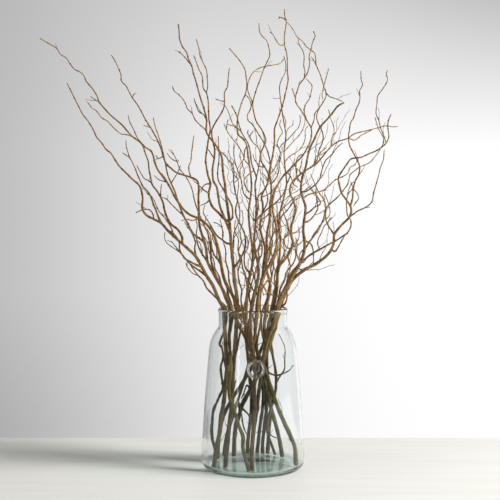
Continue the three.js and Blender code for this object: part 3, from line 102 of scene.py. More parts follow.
STEMS = [
    stem((-93, -51), (-30, -10, -90), (5.4, 4.6, 0.9), [
        (-88, 45), (-80, 85), (-76, 122), (-69, 160), (-64, 205), (-60, 250), (-63, 295), (-66, 340),
        (-70, 385), (-83, 410), (-96, 442), (-112, 467), (-124, 490), (-138, 514), (-155, 531), (-172, 546),
        (-190, 562), (-206, 577), (-222, 595), (-240, 605), (-258, 615), (-268, 632), (-267, 658),
        (-274, 685), (-292, 702), (-307, 717), (-322, 732), (-333, 748), (-343, 764), (-355, 774),
        (-366, 790), (-378, 804), (-385, 820), (-398, 842), (-410, 857), (-420, 876), (-432, 900),
        (-448, 933)
    ], [
        twig(60, [(-112, 467), (-128, 479), (-148, 493), (-163, 508), (-175, 524), (-187, 538), (-196, 549),
            (-208, 554)]),
        twig(-50, [(-124, 490), (-136, 494), (-150, 501), (-164, 509), (-173, 521), (-178, 534),
            (-179, 548), (-188, 566), (-202, 578)]),
        twig(70, [(-138, 514), (-141, 535), (-139, 549), (-144, 564), (-151, 577), (-159, 587),
            (-166, 600)]),
        twig(110, [(-172, 546), (-172, 562), (-182, 580), (-198, 593), (-208, 610), (-214, 627),
            (-217, 643), (-223, 658), (-233, 675), (-243, 688), (-247, 706), (-251, 725), (-253, 745),
            (-259, 762), (-266, 782), (-279, 802), (-288, 822), (-297, 840), (-301, 857)],
            twig(-35, [(-223, 658), (-223, 672), (-221, 690)]),
            twig(40, [(-243, 688), (-250, 697), (-263, 704), (-271, 717), (-277, 728), (-281, 736)]),
            heavy=True),
        twig(-80, [(-222, 595), (-229, 610), (-235, 627), (-241, 641), (-246, 656), (-254, 671),
            (-266, 684), (-272, 696), (-279, 712), (-285, 728), (-291, 741), (-298, 753), (-310, 762),
            (-316, 766)],
            twig(20, [(-298, 753), (-302, 766), (-306, 780), (-307, 796)]),
            heavy=True),
        twig(-60, [(-190, 562), (-200, 588), (-213, 608), (-226, 622), (-233, 636), (-239, 650),
            (-247, 663)]),
        twig(50, [(-240, 605), (-242, 616), (-247, 625), (-255, 629), (-269, 627), (-284, 621)]),
    ]),
    stem((104, -25), (10, 26, 110), (5.2, 4.2, 0.9), [
        (103, 45), (92, 75), (78, 105), (62, 142), (50, 175), (38, 210), (25, 245), (10, 280), (-5, 315),
        (-18, 350), (-33, 387), (-50, 420), (-62, 441), (-70, 460), (-75, 482), (-78, 503), (-82, 525),
        (-88, 548), (-95, 568), (-105, 585), (-118, 598), (-131, 607), (-152, 616), (-168, 629),
        (-178, 643), (-188, 658), (-197, 676), (-207, 694), (-215, 707), (-228, 722), (-236, 740),
        (-241, 760), (-247, 771), (-260, 779), (-272, 791), (-290, 804), (-303, 818), (-315, 832),
        (-330, 845), (-343, 856), (-356, 870), (-370, 887), (-376, 903), (-386, 919), (-401, 937),
        (-407, 951), (-417, 960), (-429, 966), (-440, 979), (-449, 993), (-463, 1002), (-472, 1016),
        (-490, 1027), (-512, 1040)
    ], [
        twig(60, [(-78, 503), (-91, 513), (-99, 528), (-103, 548), (-105, 566), (-113, 582)]),
        twig(40, [(-207, 694), (-216, 697), (-226, 700), (-238, 710)]),
        twig(-70, [(-290, 804), (-304, 809), (-318, 811), (-331, 821), (-342, 832), (-351, 842),
            (-365, 850), (-377, 866), (-388, 873), (-400, 889)]),
        twig(30, [(-370, 887), (-380, 893), (-391, 901)]),
        twig(-55, [(-131, 607), (-146, 602), (-160, 605), (-174, 601)]),
        twig(-30, [(-5, 315), (-14, 338), (-30, 362), (-42, 384), (-47, 408), (-52, 432), (-58, 455),
            (-60, 480), (-66, 505), (-66, 530), (-73, 556), (-74, 582), (-80, 606)], heavy=True),
    ]),
    stem((75, 63), (30, -34, -130), (5.5, 4, 0.8), [
        (70, 45), (62, 85), (52, 120), (42, 155), (33, 190), (22, 225), (8, 260), (-8, 295), (-24, 330),
        (-40, 362), (-54, 388), (-66, 415), (-75, 437), (-88, 460), (-98, 478), (-106, 492), (-111, 506),
        (-113, 528), (-117, 548), (-122, 563), (-128, 583), (-131, 605), (-131, 630), (-132, 655),
        (-131, 680), (-135, 698), (-150, 706), (-168, 712), (-185, 718), (-198, 728), (-210, 740),
        (-217, 757), (-222, 775), (-230, 795), (-238, 810), (-247, 826), (-258, 843), (-268, 862),
        (-278, 880), (-291, 898), (-300, 915), (-306, 926), (-317, 938), (-318, 953), (-324, 968),
        (-332, 985), (-341, 1000)
    ], [
        twig(50, [(-111, 506), (-121, 517), (-129, 531), (-135, 549), (-137, 570), (-135, 590),
            (-139, 608)]),
        twig(-70, [(-117, 548), (-130, 559), (-143, 568), (-152, 582), (-160, 598), (-168, 613),
            (-176, 632), (-183, 652), (-189, 672), (-198, 692), (-206, 712), (-211, 735), (-216, 760),
            (-222, 785), (-229, 808), (-236, 828), (-241, 851)],
            twig(-60, [(-168, 613), (-184, 628), (-197, 641), (-209, 653), (-221, 659)]),
            twig(-50, [(-198, 692), (-190, 705), (-182, 718), (-175, 735)]),
            heavy=True),
        twig(-40, [(-247, 826), (-256, 829), (-265, 832)]),
        twig(25, [(-291, 898), (-288, 905), (-281, 909)]),
        twig(90, [(-150, 706), (-154, 720), (-155, 733), (-150, 746), (-148, 768), (-145, 790),
            (-142, 809)]),
        twig(45, [(-217, 757), (-228, 752), (-236, 760)]),
        twig(-60, [(-24, 330), (-38, 352), (-48, 378), (-56, 402), (-66, 424), (-76, 444), (-82, 466),
            (-92, 486), (-96, 508), (-106, 525), (-110, 548), (-121, 566)], heavy=True),
    ]),
    stem((-8, -90), (-48, 40, 150), (4.4, 3.3, 0.8), [
        (-24, 42), (-25, 75), (-37, 105), (-46, 138), (-57, 168), (-60, 200), (-56, 240), (-59, 280),
        (-61, 320), (-58, 360), (-60, 392), (-67, 415), (-75, 435), (-83, 453), (-91, 472), (-97, 490),
        (-101, 511), (-101, 532), (-104, 552), (-108, 572), (-117, 590), (-126, 610), (-134, 630),
        (-141, 652), (-146, 675), (-154, 695), (-165, 712), (-177, 728), (-183, 745), (-191, 762),
        (-198, 773)
    ], [
        twig(40, [(-183, 745), (-190, 747), (-200, 755), (-208, 766)]),
        twig(-60, [(-97, 490), (-107, 497), (-117, 511), (-124, 527), (-127, 545), (-137, 556)]),
        twig(70, [(-117, 590), (-113, 608), (-119, 622), (-115, 640)]),
        twig(90, [(-61, 320), (-55, 345), (-51, 372), (-53, 398), (-60, 420), (-64, 442), (-72, 462),
            (-76, 488), (-86, 510), (-88, 536), (-97, 558), (-98, 584)], heavy=True),
        twig(12, [(-57, 168), (-48, 190), (-42, 216)]),
    ]),
    stem((-66, -43), (-30, -46, -150), (5.5, 4.4, 1), [
        (-62, 60), (-57, 105), (-51, 150), (-50, 200), (-47, 250), (-43, 300), (-40, 345), (-38, 390),
        (-40, 425), (-45, 455), (-47, 486), (-50, 515), (-53, 545), (-55, 573), (-57, 600), (-61, 630),
        (-65, 660), (-68, 690), (-72, 715), (-74, 740), (-76, 757), (-84, 775), (-97, 793), (-107, 805),
        (-113, 819), (-112, 845), (-118, 870), (-126, 895), (-133, 920), (-139, 942), (-144, 957),
        (-148, 975), (-156, 992), (-160, 1006), (-171, 1022), (-177, 1040), (-178, 1058), (-180, 1074)
    ], [
        twig(-100, [(-55, 573), (-63, 592), (-74, 620), (-81, 640), (-84, 660), (-88, 683), (-96, 698),
            (-98, 725), (-94, 752), (-93, 775), (-98, 798), (-100, 818), (-91, 838), (-80, 855), (-71, 873),
            (-69, 889), (-69, 910), (-62, 924), (-60, 945), (-57, 970)],
            twig(25, [(-94, 752), (-101, 762), (-107, 773)]),
            twig(-30, [(-69, 889), (-80, 891), (-91, 895)]),
            heavy=True),
        twig(60, [(-57, 600), (-70, 606), (-85, 622), (-98, 635), (-105, 652), (-107, 668), (-103, 690),
            (-109, 712), (-113, 735), (-114, 752), (-110, 780), (-107, 800), (-103, 822), (-106, 845),
            (-107, 868), (-108, 890), (-112, 909), (-120, 922), (-122, 948), (-131, 968), (-137, 985),
            (-143, 1000)],
            twig(35, [(-112, 909), (-109, 925), (-110, 945), (-112, 965), (-120, 982), (-127, 998),
                (-130, 1016), (-136, 1038)]),
            twig(-40, [(-107, 668), (-119, 676), (-132, 688), (-145, 700)]),
            twig(45, [(-103, 690), (-113, 690), (-121, 683), (-126, 669)]),
            twig(30, [(-105, 652), (-112, 645), (-120, 641), (-128, 638)]),
            heavy=True),
        twig(-40, [(-57, 600), (-50, 609), (-50, 632), (-56, 648), (-64, 662), (-74, 681), (-84, 700),
            (-85, 725), (-82, 752), (-83, 780), (-84, 807)]),
        twig(-80, [(-113, 819), (-125, 830), (-139, 844), (-147, 860), (-158, 871), (-165, 888),
            (-178, 904), (-190, 914), (-195, 926)]),
        twig(30, [(-112, 845), (-119, 857), (-130, 864), (-137, 880), (-142, 897)]),
        twig(35, [(-148, 975), (-161, 991), (-178, 1009)]),
        twig(-120, [(-47, 486), (-35, 503), (-23, 524), (-18, 545), (-20, 568), (-27, 585), (-34, 598),
            (-41, 615), (-42, 632), (-38, 650), (-43, 670), (-47, 695), (-46, 718), (-50, 738), (-61, 750),
            (-75, 768)],
            twig(-45, [(-34, 598), (-32, 614), (-33, 634), (-38, 660), (-35, 690), (-41, 712)])),
        twig(50, [(-50, 515), (-47, 545), (-46, 570), (-39, 588), (-31, 602)]),
        twig(80, [(-53, 545), (-64, 547), (-74, 555), (-85, 563), (-94, 575), (-102, 590), (-112, 606),
            (-121, 620)],
            twig(30, [(-74, 555), (-72, 573), (-77, 587), (-87, 595), (-97, 597)])),
        twig(40, [(-47, 250), (-40, 285), (-33, 318), (-27, 350), (-26, 385), (-29, 410), (-27, 432),
            (-33, 452), (-36, 478), (-30, 502), (-35, 525), (-28, 550), (-31, 576), (-24, 600),
            (-26, 628)], heavy=True),
    ]),
    stem((-92, 52), (30, 14, 70), (3.4, 2.3, 0.7), [
        (-101, 75), (-101, 110), (-96, 142), (-85, 168), (-74, 193), (-77, 222), (-79, 245), (-73, 268),
        (-76, 290), (-82, 302), (-74, 322), (-68, 345), (-64, 368), (-67, 392), (-83, 408), (-98, 423),
        (-112, 438), (-120, 455), (-132, 468), (-143, 482), (-153, 497), (-165, 511), (-178, 525),
        (-195, 537), (-208, 547), (-214, 560), (-213, 573)
    ], [
        twig(25, [(-74, 193), (-66, 212), (-63, 235), (-70, 250), (-69, 270), (-58, 282)]),
        twig(-35, [(-132, 468), (-146, 474), (-158, 487), (-163, 500)]),
    ]),
    stem((-13, 95), (40, 54, 200), (4.5, 3.6, 0.9), [
        (-12, 62), (-8, 100), (-3, 140), (-4, 185), (-8, 230), (-12, 270), (-16, 310), (-18, 350),
        (-16, 390), (-14, 420), (-11, 450), (-6, 475), (-1, 497), (0, 518), (-2, 545), (-6, 572), (-9, 600),
        (-10, 628), (-6, 652), (-3, 680), (-4, 705), (-8, 735), (-12, 760), (-14, 782), (-22, 797),
        (-33, 807), (-37, 822), (-37, 845), (-32, 868), (-25, 890), (-18, 906), (-14, 928), (-16, 948),
        (-19, 966), (-30, 985), (-43, 1001), (-56, 1016)
    ], [
        twig(60, [(-37, 822), (-47, 833), (-54, 850), (-60, 867), (-69, 882)]),
        twig(90, [(-6, 652), (-20, 664), (-25, 680), (-27, 697), (-32, 712), (-38, 728), (-43, 745),
            (-46, 765), (-45, 790)]),
        twig(-50, [(-8, 735), (-19, 747), (-24, 762), (-32, 777), (-44, 793), (-56, 808), (-64, 822),
            (-70, 837)],
            twig(20, [(-44, 793), (-37, 801)]),
            twig(25, [(-64, 822), (-62, 835), (-60, 846)])),
        twig(50, [(-6, 475), (-17, 485), (-21, 500), (-20, 520), (-12, 538), (-14, 560), (-24, 575)]),
        twig(80, [(0, 518), (10, 530), (17, 548), (12, 565), (10, 580)]),
        twig(40, [(-14, 782), (-20, 770), (-20, 755), (-26, 740), (-20, 722), (-24, 705)]),
        twig(60, [(-18, 906), (-8, 894), (-4, 878), (-8, 862)]),
        twig(30, [(-8, 230), (-2, 258), (4, 288), (8, 318), (4, 350), (0, 385), (4, 410), (9, 436),
            (5, 460), (8, 486), (16, 505), (14, 530), (22, 552), (20, 580), (28, 604),
            (27, 632)], heavy=True),
        twig(-16, [(-4, 185), (-14, 200), (-20, 186), (-28, 166)]),
    ]),
    stem((-2, -76), (-34, -62, -230), (4.5, 3.9, 0.8), [
        (-2, 40), (0, 80), (2, 112), (5, 150), (4, 190), (6, 235), (2, 275), (-4, 315), (-6, 350),
        (-4, 388), (2, 420), (10, 450), (14, 477), (11, 503), (5, 527), (3, 552), (5, 580), (7, 610),
        (8, 640), (6, 666), (5, 690), (8, 706), (2, 723), (-4, 742), (-7, 768), (-12, 787), (-20, 801),
        (-28, 815), (-34, 832), (-39, 852), (-45, 866), (-52, 879)
    ], [
        twig(-70, [(5, 580), (9, 603), (24, 620), (39, 633), (53, 643), (66, 657), (74, 668), (81, 690),
            (88, 706), (90, 724)], heavy=True),
        twig(-60, [(7, 610), (13, 632), (12, 658), (23, 671), (32, 684), (34, 702), (24, 716)]),
        twig(-90, [(8, 706), (12, 722), (15, 742), (17, 765), (10, 780), (-2, 792), (-8, 805), (1, 819)],
            twig(-25, [(-8, 805), (-13, 812), (-12, 822)])),
        twig(-60, [(14, 477), (3, 475), (-7, 467)]),
        twig(-90, [(11, 503), (21, 520), (20, 545), (13, 560)]),
        twig(-45, [(-28, 815), (-41, 828), (-52, 831), (-62, 834)]),
        twig(-70, [(2, 723), (-12, 712), (-22, 700), (-18, 682), (-9, 668)]),
        twig(60, [(6, 235), (2, 262), (-4, 290), (-10, 318), (-12, 345), (-6, 375), (-5, 395), (-9, 420),
            (-4, 446), (2, 468), (-2, 492), (5, 514), (2, 540), (10, 562), (6, 590)], heavy=True),
    ]),
    stem((11, 100), (8, 20, 80), (4.3, 3.4, 0.8), [
        (14, 65), (18, 100), (24, 140), (26, 180), (22, 215), (16, 250), (10, 290), (6, 330), (8, 365),
        (10, 395), (13, 420), (18, 445), (24, 470), (26, 495), (29, 518), (29, 538), (23, 560), (18, 582),
        (19, 603), (24, 623), (24, 642), (21, 658), (27, 674), (35, 690), (38, 712), (29, 731), (19, 748),
        (19, 764), (27, 783), (30, 800), (22, 820), (9, 840), (3, 860), (0, 885), (8, 915), (17, 940),
        (27, 968), (35, 985), (41, 1000), (38, 1020), (33, 1035), (22, 1046), (16, 1058), (15, 1076)
    ], [
        twig(60, [(21, 658), (31, 662), (43, 669), (55, 684)]),
        twig(90, [(38, 712), (42, 738), (37, 765), (28, 787), (18, 804), (8, 820), (-2, 835), (-11, 843),
            (-13, 856), (-6, 870), (-2, 888), (-8, 903), (-13, 922), (-8, 943), (0, 957), (14, 968),
            (30, 973), (48, 976), (65, 980), (76, 992)], heavy=True),
        twig(40, [(29, 731), (19, 732), (10, 741), (4, 750), (0, 762)]),
        twig(-50, [(24, 623), (33, 640), (36, 655), (33, 672), (26, 690), (19, 706)]),
        twig(70, [(13, 420), (-1, 436), (-9, 455), (-20, 470), (-30, 478)]),
        twig(-60, [(22, 215), (16, 245), (12, 275), (12, 305), (16, 335), (21, 365), (18, 392), (19, 420),
            (22, 446), (30, 470), (34, 498), (42, 520), (40, 545), (49, 568), (48, 594), (58, 616),
            (58, 642)], heavy=True),
    ]),
    stem((25, 92), (48, -22, -60), (4.5, 3.6, 0.9), [
        (24, 62), (28, 100), (32, 140), (30, 180), (28, 220), (30, 260), (28, 300), (24, 340), (28, 385),
        (35, 412), (40, 438), (38, 460), (32, 482), (32, 505), (35, 528), (34, 552), (36, 575), (40, 598),
        (42, 622), (43, 645), (45, 668), (44, 690), (41, 712), (43, 735), (48, 760), (52, 790), (52, 822),
        (58, 840), (65, 860), (72, 882), (78, 905), (82, 925), (85, 942), (83, 960), (83, 985), (81, 1005),
        (76, 1025), (76, 1048), (79, 1068), (80, 1083), (76, 1094), (76, 1109)
    ], [
        twig(30, [(80, 1083), (72, 1088), (61, 1091)]),
        twig(-35, [(76, 1025), (65, 1024), (55, 1036), (48, 1049), (39, 1056)]),
        twig(70, [(41, 712), (52, 727), (60, 745), (66, 764), (59, 786), (63, 801), (71, 815), (65, 832),
            (68, 846)]),
        twig(-60, [(44, 690), (55, 703), (62, 720), (64, 742), (68, 755)]),
        twig(50, [(42, 622), (31, 610), (20, 604)]),
        twig(-80, [(38, 460), (29, 448), (22, 434), (26, 418)]),
        twig(-60, [(35, 528), (46, 545), (45, 562), (52, 577), (46, 592)]),
        twig(70, [(28, 300), (36, 325), (42, 350), (41, 380), (48, 408), (53, 436), (52, 462), (58, 488),
            (70, 508), (76, 528), (74, 552), (84, 572), (86, 598)], heavy=True),
    ]),
    stem((-88, 36), (44, 52, 240), (4.5, 3.5, 0.8), [
        (-84, 62), (-80, 95), (-70, 130), (-52, 165), (-30, 200), (-8, 235), (12, 270), (28, 305),
        (38, 345), (45, 385), (51, 415), (57, 447), (61, 476), (64, 505), (66, 530), (67, 555), (64, 580),
        (64, 605), (68, 628), (73, 648), (78, 668), (82, 692), (80, 715), (77, 742), (76, 768), (79, 792),
        (80, 812), (76, 835), (72, 858), (69, 882), (66, 903), (65, 925), (70, 942), (78, 958), (80, 978),
        (75, 998)
    ], [
        twig(60, [(77, 742), (88, 756), (101, 764), (114, 774), (123, 788), (127, 803), (127, 820),
            (134, 831)], heavy=True),
        twig(90, [(76, 768), (86, 779), (94, 788), (102, 797), (111, 806), (120, 820), (126, 838),
            (126, 856), (122, 873)]),
        twig(-50, [(79, 792), (90, 803), (103, 818), (111, 828), (115, 842), (113, 857)]),
        twig(40, [(80, 812), (86, 824), (96, 832), (98, 845)]),
        twig(70, [(67, 555), (76, 558), (90, 571), (103, 573), (113, 581), (121, 590)]),
        twig(-60, [(64, 605), (74, 617), (86, 630), (95, 645), (104, 661)]),
        twig(110, [(64, 580), (60, 598), (61, 617), (75, 633), (88, 645), (100, 657), (113, 665),
            (126, 675), (139, 685)]),
        twig(50, [(79, 792), (71, 786), (64, 777), (56, 786)]),
        twig(60, [(72, 858), (77, 850), (80, 838), (78, 826)]),
        twig(70, [(28, 305), (24, 330), (32, 358), (37, 388), (36, 415), (39, 440), (46, 462), (44, 486),
            (52, 508), (60, 530), (60, 552), (69, 574), (67, 600), (75, 622)], heavy=True),
    ]),
    stem((-74, 74), (-6, -58, -180), (3.8, 3.6, 0.8), [
        (-68, 58), (-62, 85), (-50, 120), (-38, 160), (-25, 200), (-14, 240), (-4, 280), (4, 320), (8, 355),
        (12, 390), (14, 420), (20, 450), (29, 476), (39, 493), (48, 511), (55, 531), (58, 555), (57, 580),
        (53, 603), (48, 625), (47, 648), (52, 672), (62, 692), (75, 712), (88, 725), (100, 738), (112, 750),
        (121, 760), (129, 774), (137, 789), (141, 806), (140, 825), (130, 843), (117, 866), (105, 883),
        (102, 897), (106, 913), (112, 930), (123, 944), (132, 960), (136, 980), (135, 998), (139, 1012),
        (143, 1030), (149, 1045), (145, 1057)
    ], [
        twig(-50, [(130, 843), (124, 862), (126, 880), (136, 896), (140, 912), (142, 926), (134, 937),
            (127, 944)]),
        twig(40, [(123, 944), (125, 960), (122, 975), (123, 997), (119, 1012), (112, 1023), (108, 1040)]),
        twig(-40, [(140, 825), (147, 845), (149, 860), (156, 869), (166, 881)]),
        twig(-60, [(102, 897), (98, 908), (94, 921)]),
        twig(-70, [(75, 712), (84, 716), (92, 706), (98, 690), (108, 682)]),
        twig(-50, [(100, 738), (106, 722), (104, 706), (110, 695)]),
        twig(60, [(48, 511), (44, 532), (45, 552), (37, 569)]),
        twig(-90, [(57, 580), (68, 562), (66, 545), (59, 530)]),
        twig(-80, [(20, 450), (29, 436), (33, 420)]),
        twig(80, [(-4, 280), (-9, 300), (-14, 325), (-20, 350), (-22, 385), (-17, 410), (-14, 440),
            (-18, 466), (-25, 488), (-28, 512), (-36, 530), (-35, 556), (-44, 578),
            (-42, 604)], heavy=True),
        twig(22, [(-38, 160), (-28, 148), (-18, 137), (-9, 126), (-6, 108), (-9, 88), (-12, 68),
            (-12, 52)], heavy=True),
        twig(-14, [(-38, 160), (-28, 128), (-22, 96), (-13, 75), (-10, 62)]),
    ]),
    stem((38, 96), (20, 8, 60), (4.5, 4, 0.9), [
        (38, 66), (40, 100), (44, 135), (42, 170), (36, 210), (32, 250), (34, 290), (40, 330), (44, 362),
        (50, 395), (56, 425), (59, 452), (60, 476), (64, 491), (74, 504), (84, 516), (92, 532), (97, 548),
        (93, 568), (94, 590), (100, 612), (103, 632), (97, 652), (90, 668), (92, 688), (103, 703),
        (118, 716), (133, 726), (150, 736), (165, 752), (178, 768), (190, 781), (205, 792), (220, 797),
        (231, 801), (243, 810), (258, 815), (280, 820), (300, 825), (320, 830), (338, 828), (350, 829)
    ], [
        twig(30, [(231, 801), (243, 796), (252, 799), (262, 808), (277, 815), (289, 822)]),
        twig(-70, [(133, 726), (143, 733), (153, 744), (158, 758), (160, 772), (167, 788), (170, 803),
            (167, 818), (160, 832), (154, 850), (157, 866), (165, 880), (175, 898), (176, 910), (171, 925),
            (166, 942), (161, 957), (153, 975), (151, 992), (148, 1005), (138, 1013), (128, 1021),
            (118, 1034), (107, 1043), (98, 1058), (90, 1070), (81, 1079)],
            twig(-30, [(176, 910), (184, 901), (195, 897), (206, 893), (216, 889)]),
            twig(30, [(171, 925), (174, 937), (178, 951), (183, 969)]),
            twig(-25, [(171, 925), (167, 908), (168, 893)]),
            twig(20, [(153, 975), (145, 990), (140, 996)]),
            twig(35, [(158, 758), (170, 772), (179, 778)]),
            heavy=True),
        twig(60, [(150, 736), (153, 756), (165, 761), (177, 769), (188, 776)]),
        twig(40, [(190, 781), (190, 798), (196, 815), (194, 832), (187, 850)]),
        twig(-60, [(93, 568), (86, 584), (82, 600), (76, 615), (71, 633)]),
        twig(70, [(97, 548), (102, 538), (112, 544), (120, 552), (125, 564)]),
        twig(60, [(84, 516), (88, 502), (91, 488), (86, 470), (81, 452)]),
        twig(-50, [(92, 532), (79, 540), (76, 557), (79, 572)]),
        twig(-70, [(34, 290), (27, 315), (22, 345), (24, 380), (34, 408), (40, 430), (42, 452), (48, 475),
            (50, 500), (44, 525), (47, 548), (40, 572), (43, 598), (36, 620)], heavy=True),
        twig(-14, [(32, 250), (36, 234), (45, 228), (57, 226), (72, 229), (90, 239), (99, 251)]),
        twig(-20, [(40, 100), (38, 90), (42, 78), (57, 69)]),
    ]),
    stem((-5, 104), (-14, -38, -120), (4.3, 4, 1.8), [
        (0, 65), (4, 100), (10, 140), (14, 180), (18, 215), (22, 255), (30, 290), (40, 325), (50, 358),
        (57, 388), (66, 412), (78, 438), (92, 462), (105, 482), (117, 503), (124, 527), (125, 552),
        (122, 575), (123, 597), (126, 617), (127, 636), (121, 655), (116, 672), (117, 692), (121, 712),
        (127, 730), (131, 750), (134, 765), (139, 780), (148, 798), (155, 814), (163, 829), (175, 842),
        (187, 855), (198, 870), (206, 879), (219, 886)
    ], [
        twig(-60, [(116, 672), (128, 672), (140, 680), (151, 689), (161, 702), (165, 718), (171, 737),
            (178, 750), (190, 761), (203, 778), (217, 790)]),
        twig(80, [(121, 655), (133, 664), (150, 669), (168, 674), (183, 685), (195, 697), (207, 704),
            (219, 709), (230, 717), (235, 730), (247, 737), (252, 748)]),
        twig(-50, [(126, 617), (138, 624), (149, 634), (161, 640), (163, 648), (155, 660), (146, 672),
            (139, 685)]),
        twig(60, [(123, 597), (137, 602), (149, 616), (157, 632), (155, 646), (153, 663), (150, 680)]),
        twig(-70, [(117, 692), (108, 705), (104, 722), (105, 745), (110, 757), (120, 762)]),
        twig(50, [(121, 712), (113, 722), (117, 738), (119, 752)]),
        twig(-30, [(187, 855), (184, 862), (182, 870)]),
        twig(70, [(125, 552), (138, 548), (145, 534), (147, 512), (146, 490)]),
        twig(-80, [(105, 482), (113, 500), (106, 522), (107, 545), (103, 562)]),
        twig(40, [(40, 325), (50, 345), (58, 372), (66, 398), (76, 420), (86, 442), (96, 460), (100, 482),
            (112, 500), (114, 520), (126, 538), (128, 560)], heavy=True),
    ]),
    stem((-48, 62), (4, 4, -70), (5.2, 4.3, 1), [
        (-44, 92), (-36, 122), (-26, 155), (-8, 190), (8, 225), (22, 260), (36, 295), (48, 328), (57, 360),
        (64, 390), (73, 414), (84, 438), (96, 458), (112, 473), (130, 485), (148, 494), (165, 505),
        (180, 518), (190, 532), (196, 548), (197, 567), (207, 582), (220, 596), (232, 608), (238, 622),
        (236, 637), (226, 652), (215, 668), (209, 688), (207, 706), (216, 722), (227, 738), (236, 750),
        (248, 753), (263, 755), (280, 763), (297, 770), (311, 779), (322, 789), (328, 804), (326, 821),
        (326, 840), (333, 858)
    ], [
        twig(-50, [(84, 438), (84, 455), (92, 472), (106, 489), (125, 507), (143, 521), (163, 532),
            (184, 544), (203, 554), (218, 564), (229, 572), (237, 587), (237, 603), (229, 615), (227, 632),
            (227, 652), (232, 668), (241, 680), (236, 697)],
            twig(-30, [(163, 532), (157, 545), (159, 558), (166, 572), (172, 587), (181, 597), (191, 611)]),
            heavy=True),
        twig(50, [(197, 567), (188, 581), (179, 597), (176, 613), (177, 635), (171, 653), (161, 668),
            (152, 685), (146, 700), (139, 715)]),
        twig(-30, [(190, 532), (199, 527), (206, 536), (213, 549), (219, 560), (228, 573)]),
        twig(-60, [(232, 608), (243, 617), (254, 625), (275, 635), (288, 648), (292, 668), (298, 690),
            (304, 712), (308, 730), (315, 749), (317, 774)]),
        twig(50, [(236, 637), (241, 655), (243, 678), (248, 698), (256, 713), (258, 732), (252, 748),
            (243, 765), (234, 783), (231, 802), (233, 820), (236, 838), (243, 850), (249, 870), (257, 888),
            (258, 905), (257, 914), (264, 928), (261, 942), (260, 963)],
            twig(25, [(243, 678), (252, 668), (256, 656), (250, 646), (243, 636)]),
            twig(-20, [(248, 698), (238, 690), (232, 676), (228, 664)]),
            heavy=True),
        twig(35, [(322, 789), (316, 806), (308, 826), (304, 843), (297, 860), (299, 882), (301, 902),
            (312, 918), (322, 934), (324, 945), (321, 953), (324, 964)]),
        twig(-35, [(311, 779), (315, 790), (314, 803), (304, 821), (299, 835), (294, 852)]),
        twig(-20, [(64, 390), (78, 402), (82, 420), (81, 436)]),
        twig(70, [(57, 360), (56, 385), (62, 410), (66, 436), (76, 456), (82, 478), (96, 495), (104, 515),
            (103, 540), (112, 562), (111, 588)], heavy=True),
    ]),
    stem((57, 83), (10, 38, 160), (3.4, 3, 0.8), [
        (48, 52), (40, 75), (36, 105), (44, 140), (54, 172), (58, 205), (56, 240), (50, 272), (46, 305),
        (54, 340), (62, 372), (68, 400), (78, 425), (90, 448), (101, 468), (110, 488), (118, 508),
        (126, 530), (137, 549), (148, 564), (157, 578), (166, 593), (172, 608), (175, 624), (181, 636),
        (191, 646), (203, 656), (213, 667), (223, 680), (230, 691), (233, 702), (236, 713), (246, 722),
        (258, 731), (273, 737), (284, 743), (293, 753), (302, 765), (308, 774)
    ], [
        twig(45, [(58, 205), (68, 222), (80, 240), (82, 262), (84, 290), (78, 308), (68, 325)]),
        twig(-40, [(126, 530), (133, 543), (141, 555), (147, 568), (157, 581), (162, 592)]),
        twig(50, [(172, 608), (181, 608), (187, 619), (186, 632), (181, 650), (174, 667)]),
        twig(-45, [(110, 488), (120, 481), (134, 483), (141, 492)]),
        twig(-20, [(50, 272), (43, 292), (40, 312), (46, 330)]),
    ]),
]


# ---------- laying out the wood, by the CAD's own rules ----------


def lerp(a, b, t):
    return a + (b - a) * t


def distances(points):
    """How far along a line each of its points is."""
    steps = np.linalg.norm(np.diff(points, axis=0), axis=1)
    return np.concatenate([[0], np.cumsum(steps)])


def bezier(points, steps):
    """A quadratic or cubic Bezier curve through its control points, without its first point."""
    t = np.linspace(0, 1, steps + 1)[1:, None]
    points = [np.array(p, float) for p in points]
    while len(points) > 1:
        points = [lerp(a, b, t) for a, b in zip(points, points[1:])]
    return points[0]


def body_curve(inset, steps):
    """(radius, height) from the heel up to the neck, outside or inside the glass."""
    middle = lerp(HEEL[0], WAIST[0], BULGE["share"]) + BULGE["swell"]
    start, end, foot = SHOULDER["start"], SHOULDER["end"], SHOULDER["foot"]
    heel = (HEEL[0] - inset, HEEL[1])
    waist = (WAIST[0] - inset, WAIST[1])
    lower = [heel, (middle - inset, lerp(HEEL[1], WAIST[1], BULGE["share"])), waist]
    upper = [
        waist,
        (WAIST[0] + start[0] - inset, WAIST[1] + start[1]),
        (NECK[0] + end[0] - inset, NECK[1] + end[1]),
        (NECK[0] + foot[0] - inset, NECK[1] + foot[1]),
    ]
    return np.vstack([[heel], bezier(lower, steps), bezier(upper, steps)])


def outer_profile(steps):
    lip = NECK[0] + LIP["swell"]
    body = body_curve(0, steps)
    neck_top = (NECK[0], NECK[1] + NECK_ROUND)
    under_lip = (NECK[0], HEIGHT - LIP["height"])
    widest = (lip, HEIGHT - LIP["round"])
    return np.vstack([
        [(REST_RADIUS, 0)],
        bezier([(REST_RADIUS, 0), (HEEL[0], 0), HEEL], steps)[:-1],
        body,
        bezier([body[-1], NECK, neck_top], steps),
        [under_lip],
        bezier([under_lip, (lip, HEIGHT - LIP["widest"]), widest], steps),
        bezier([widest, (lip, HEIGHT), (NECK[0] - WALL / 2, HEIGHT)], steps),
    ])


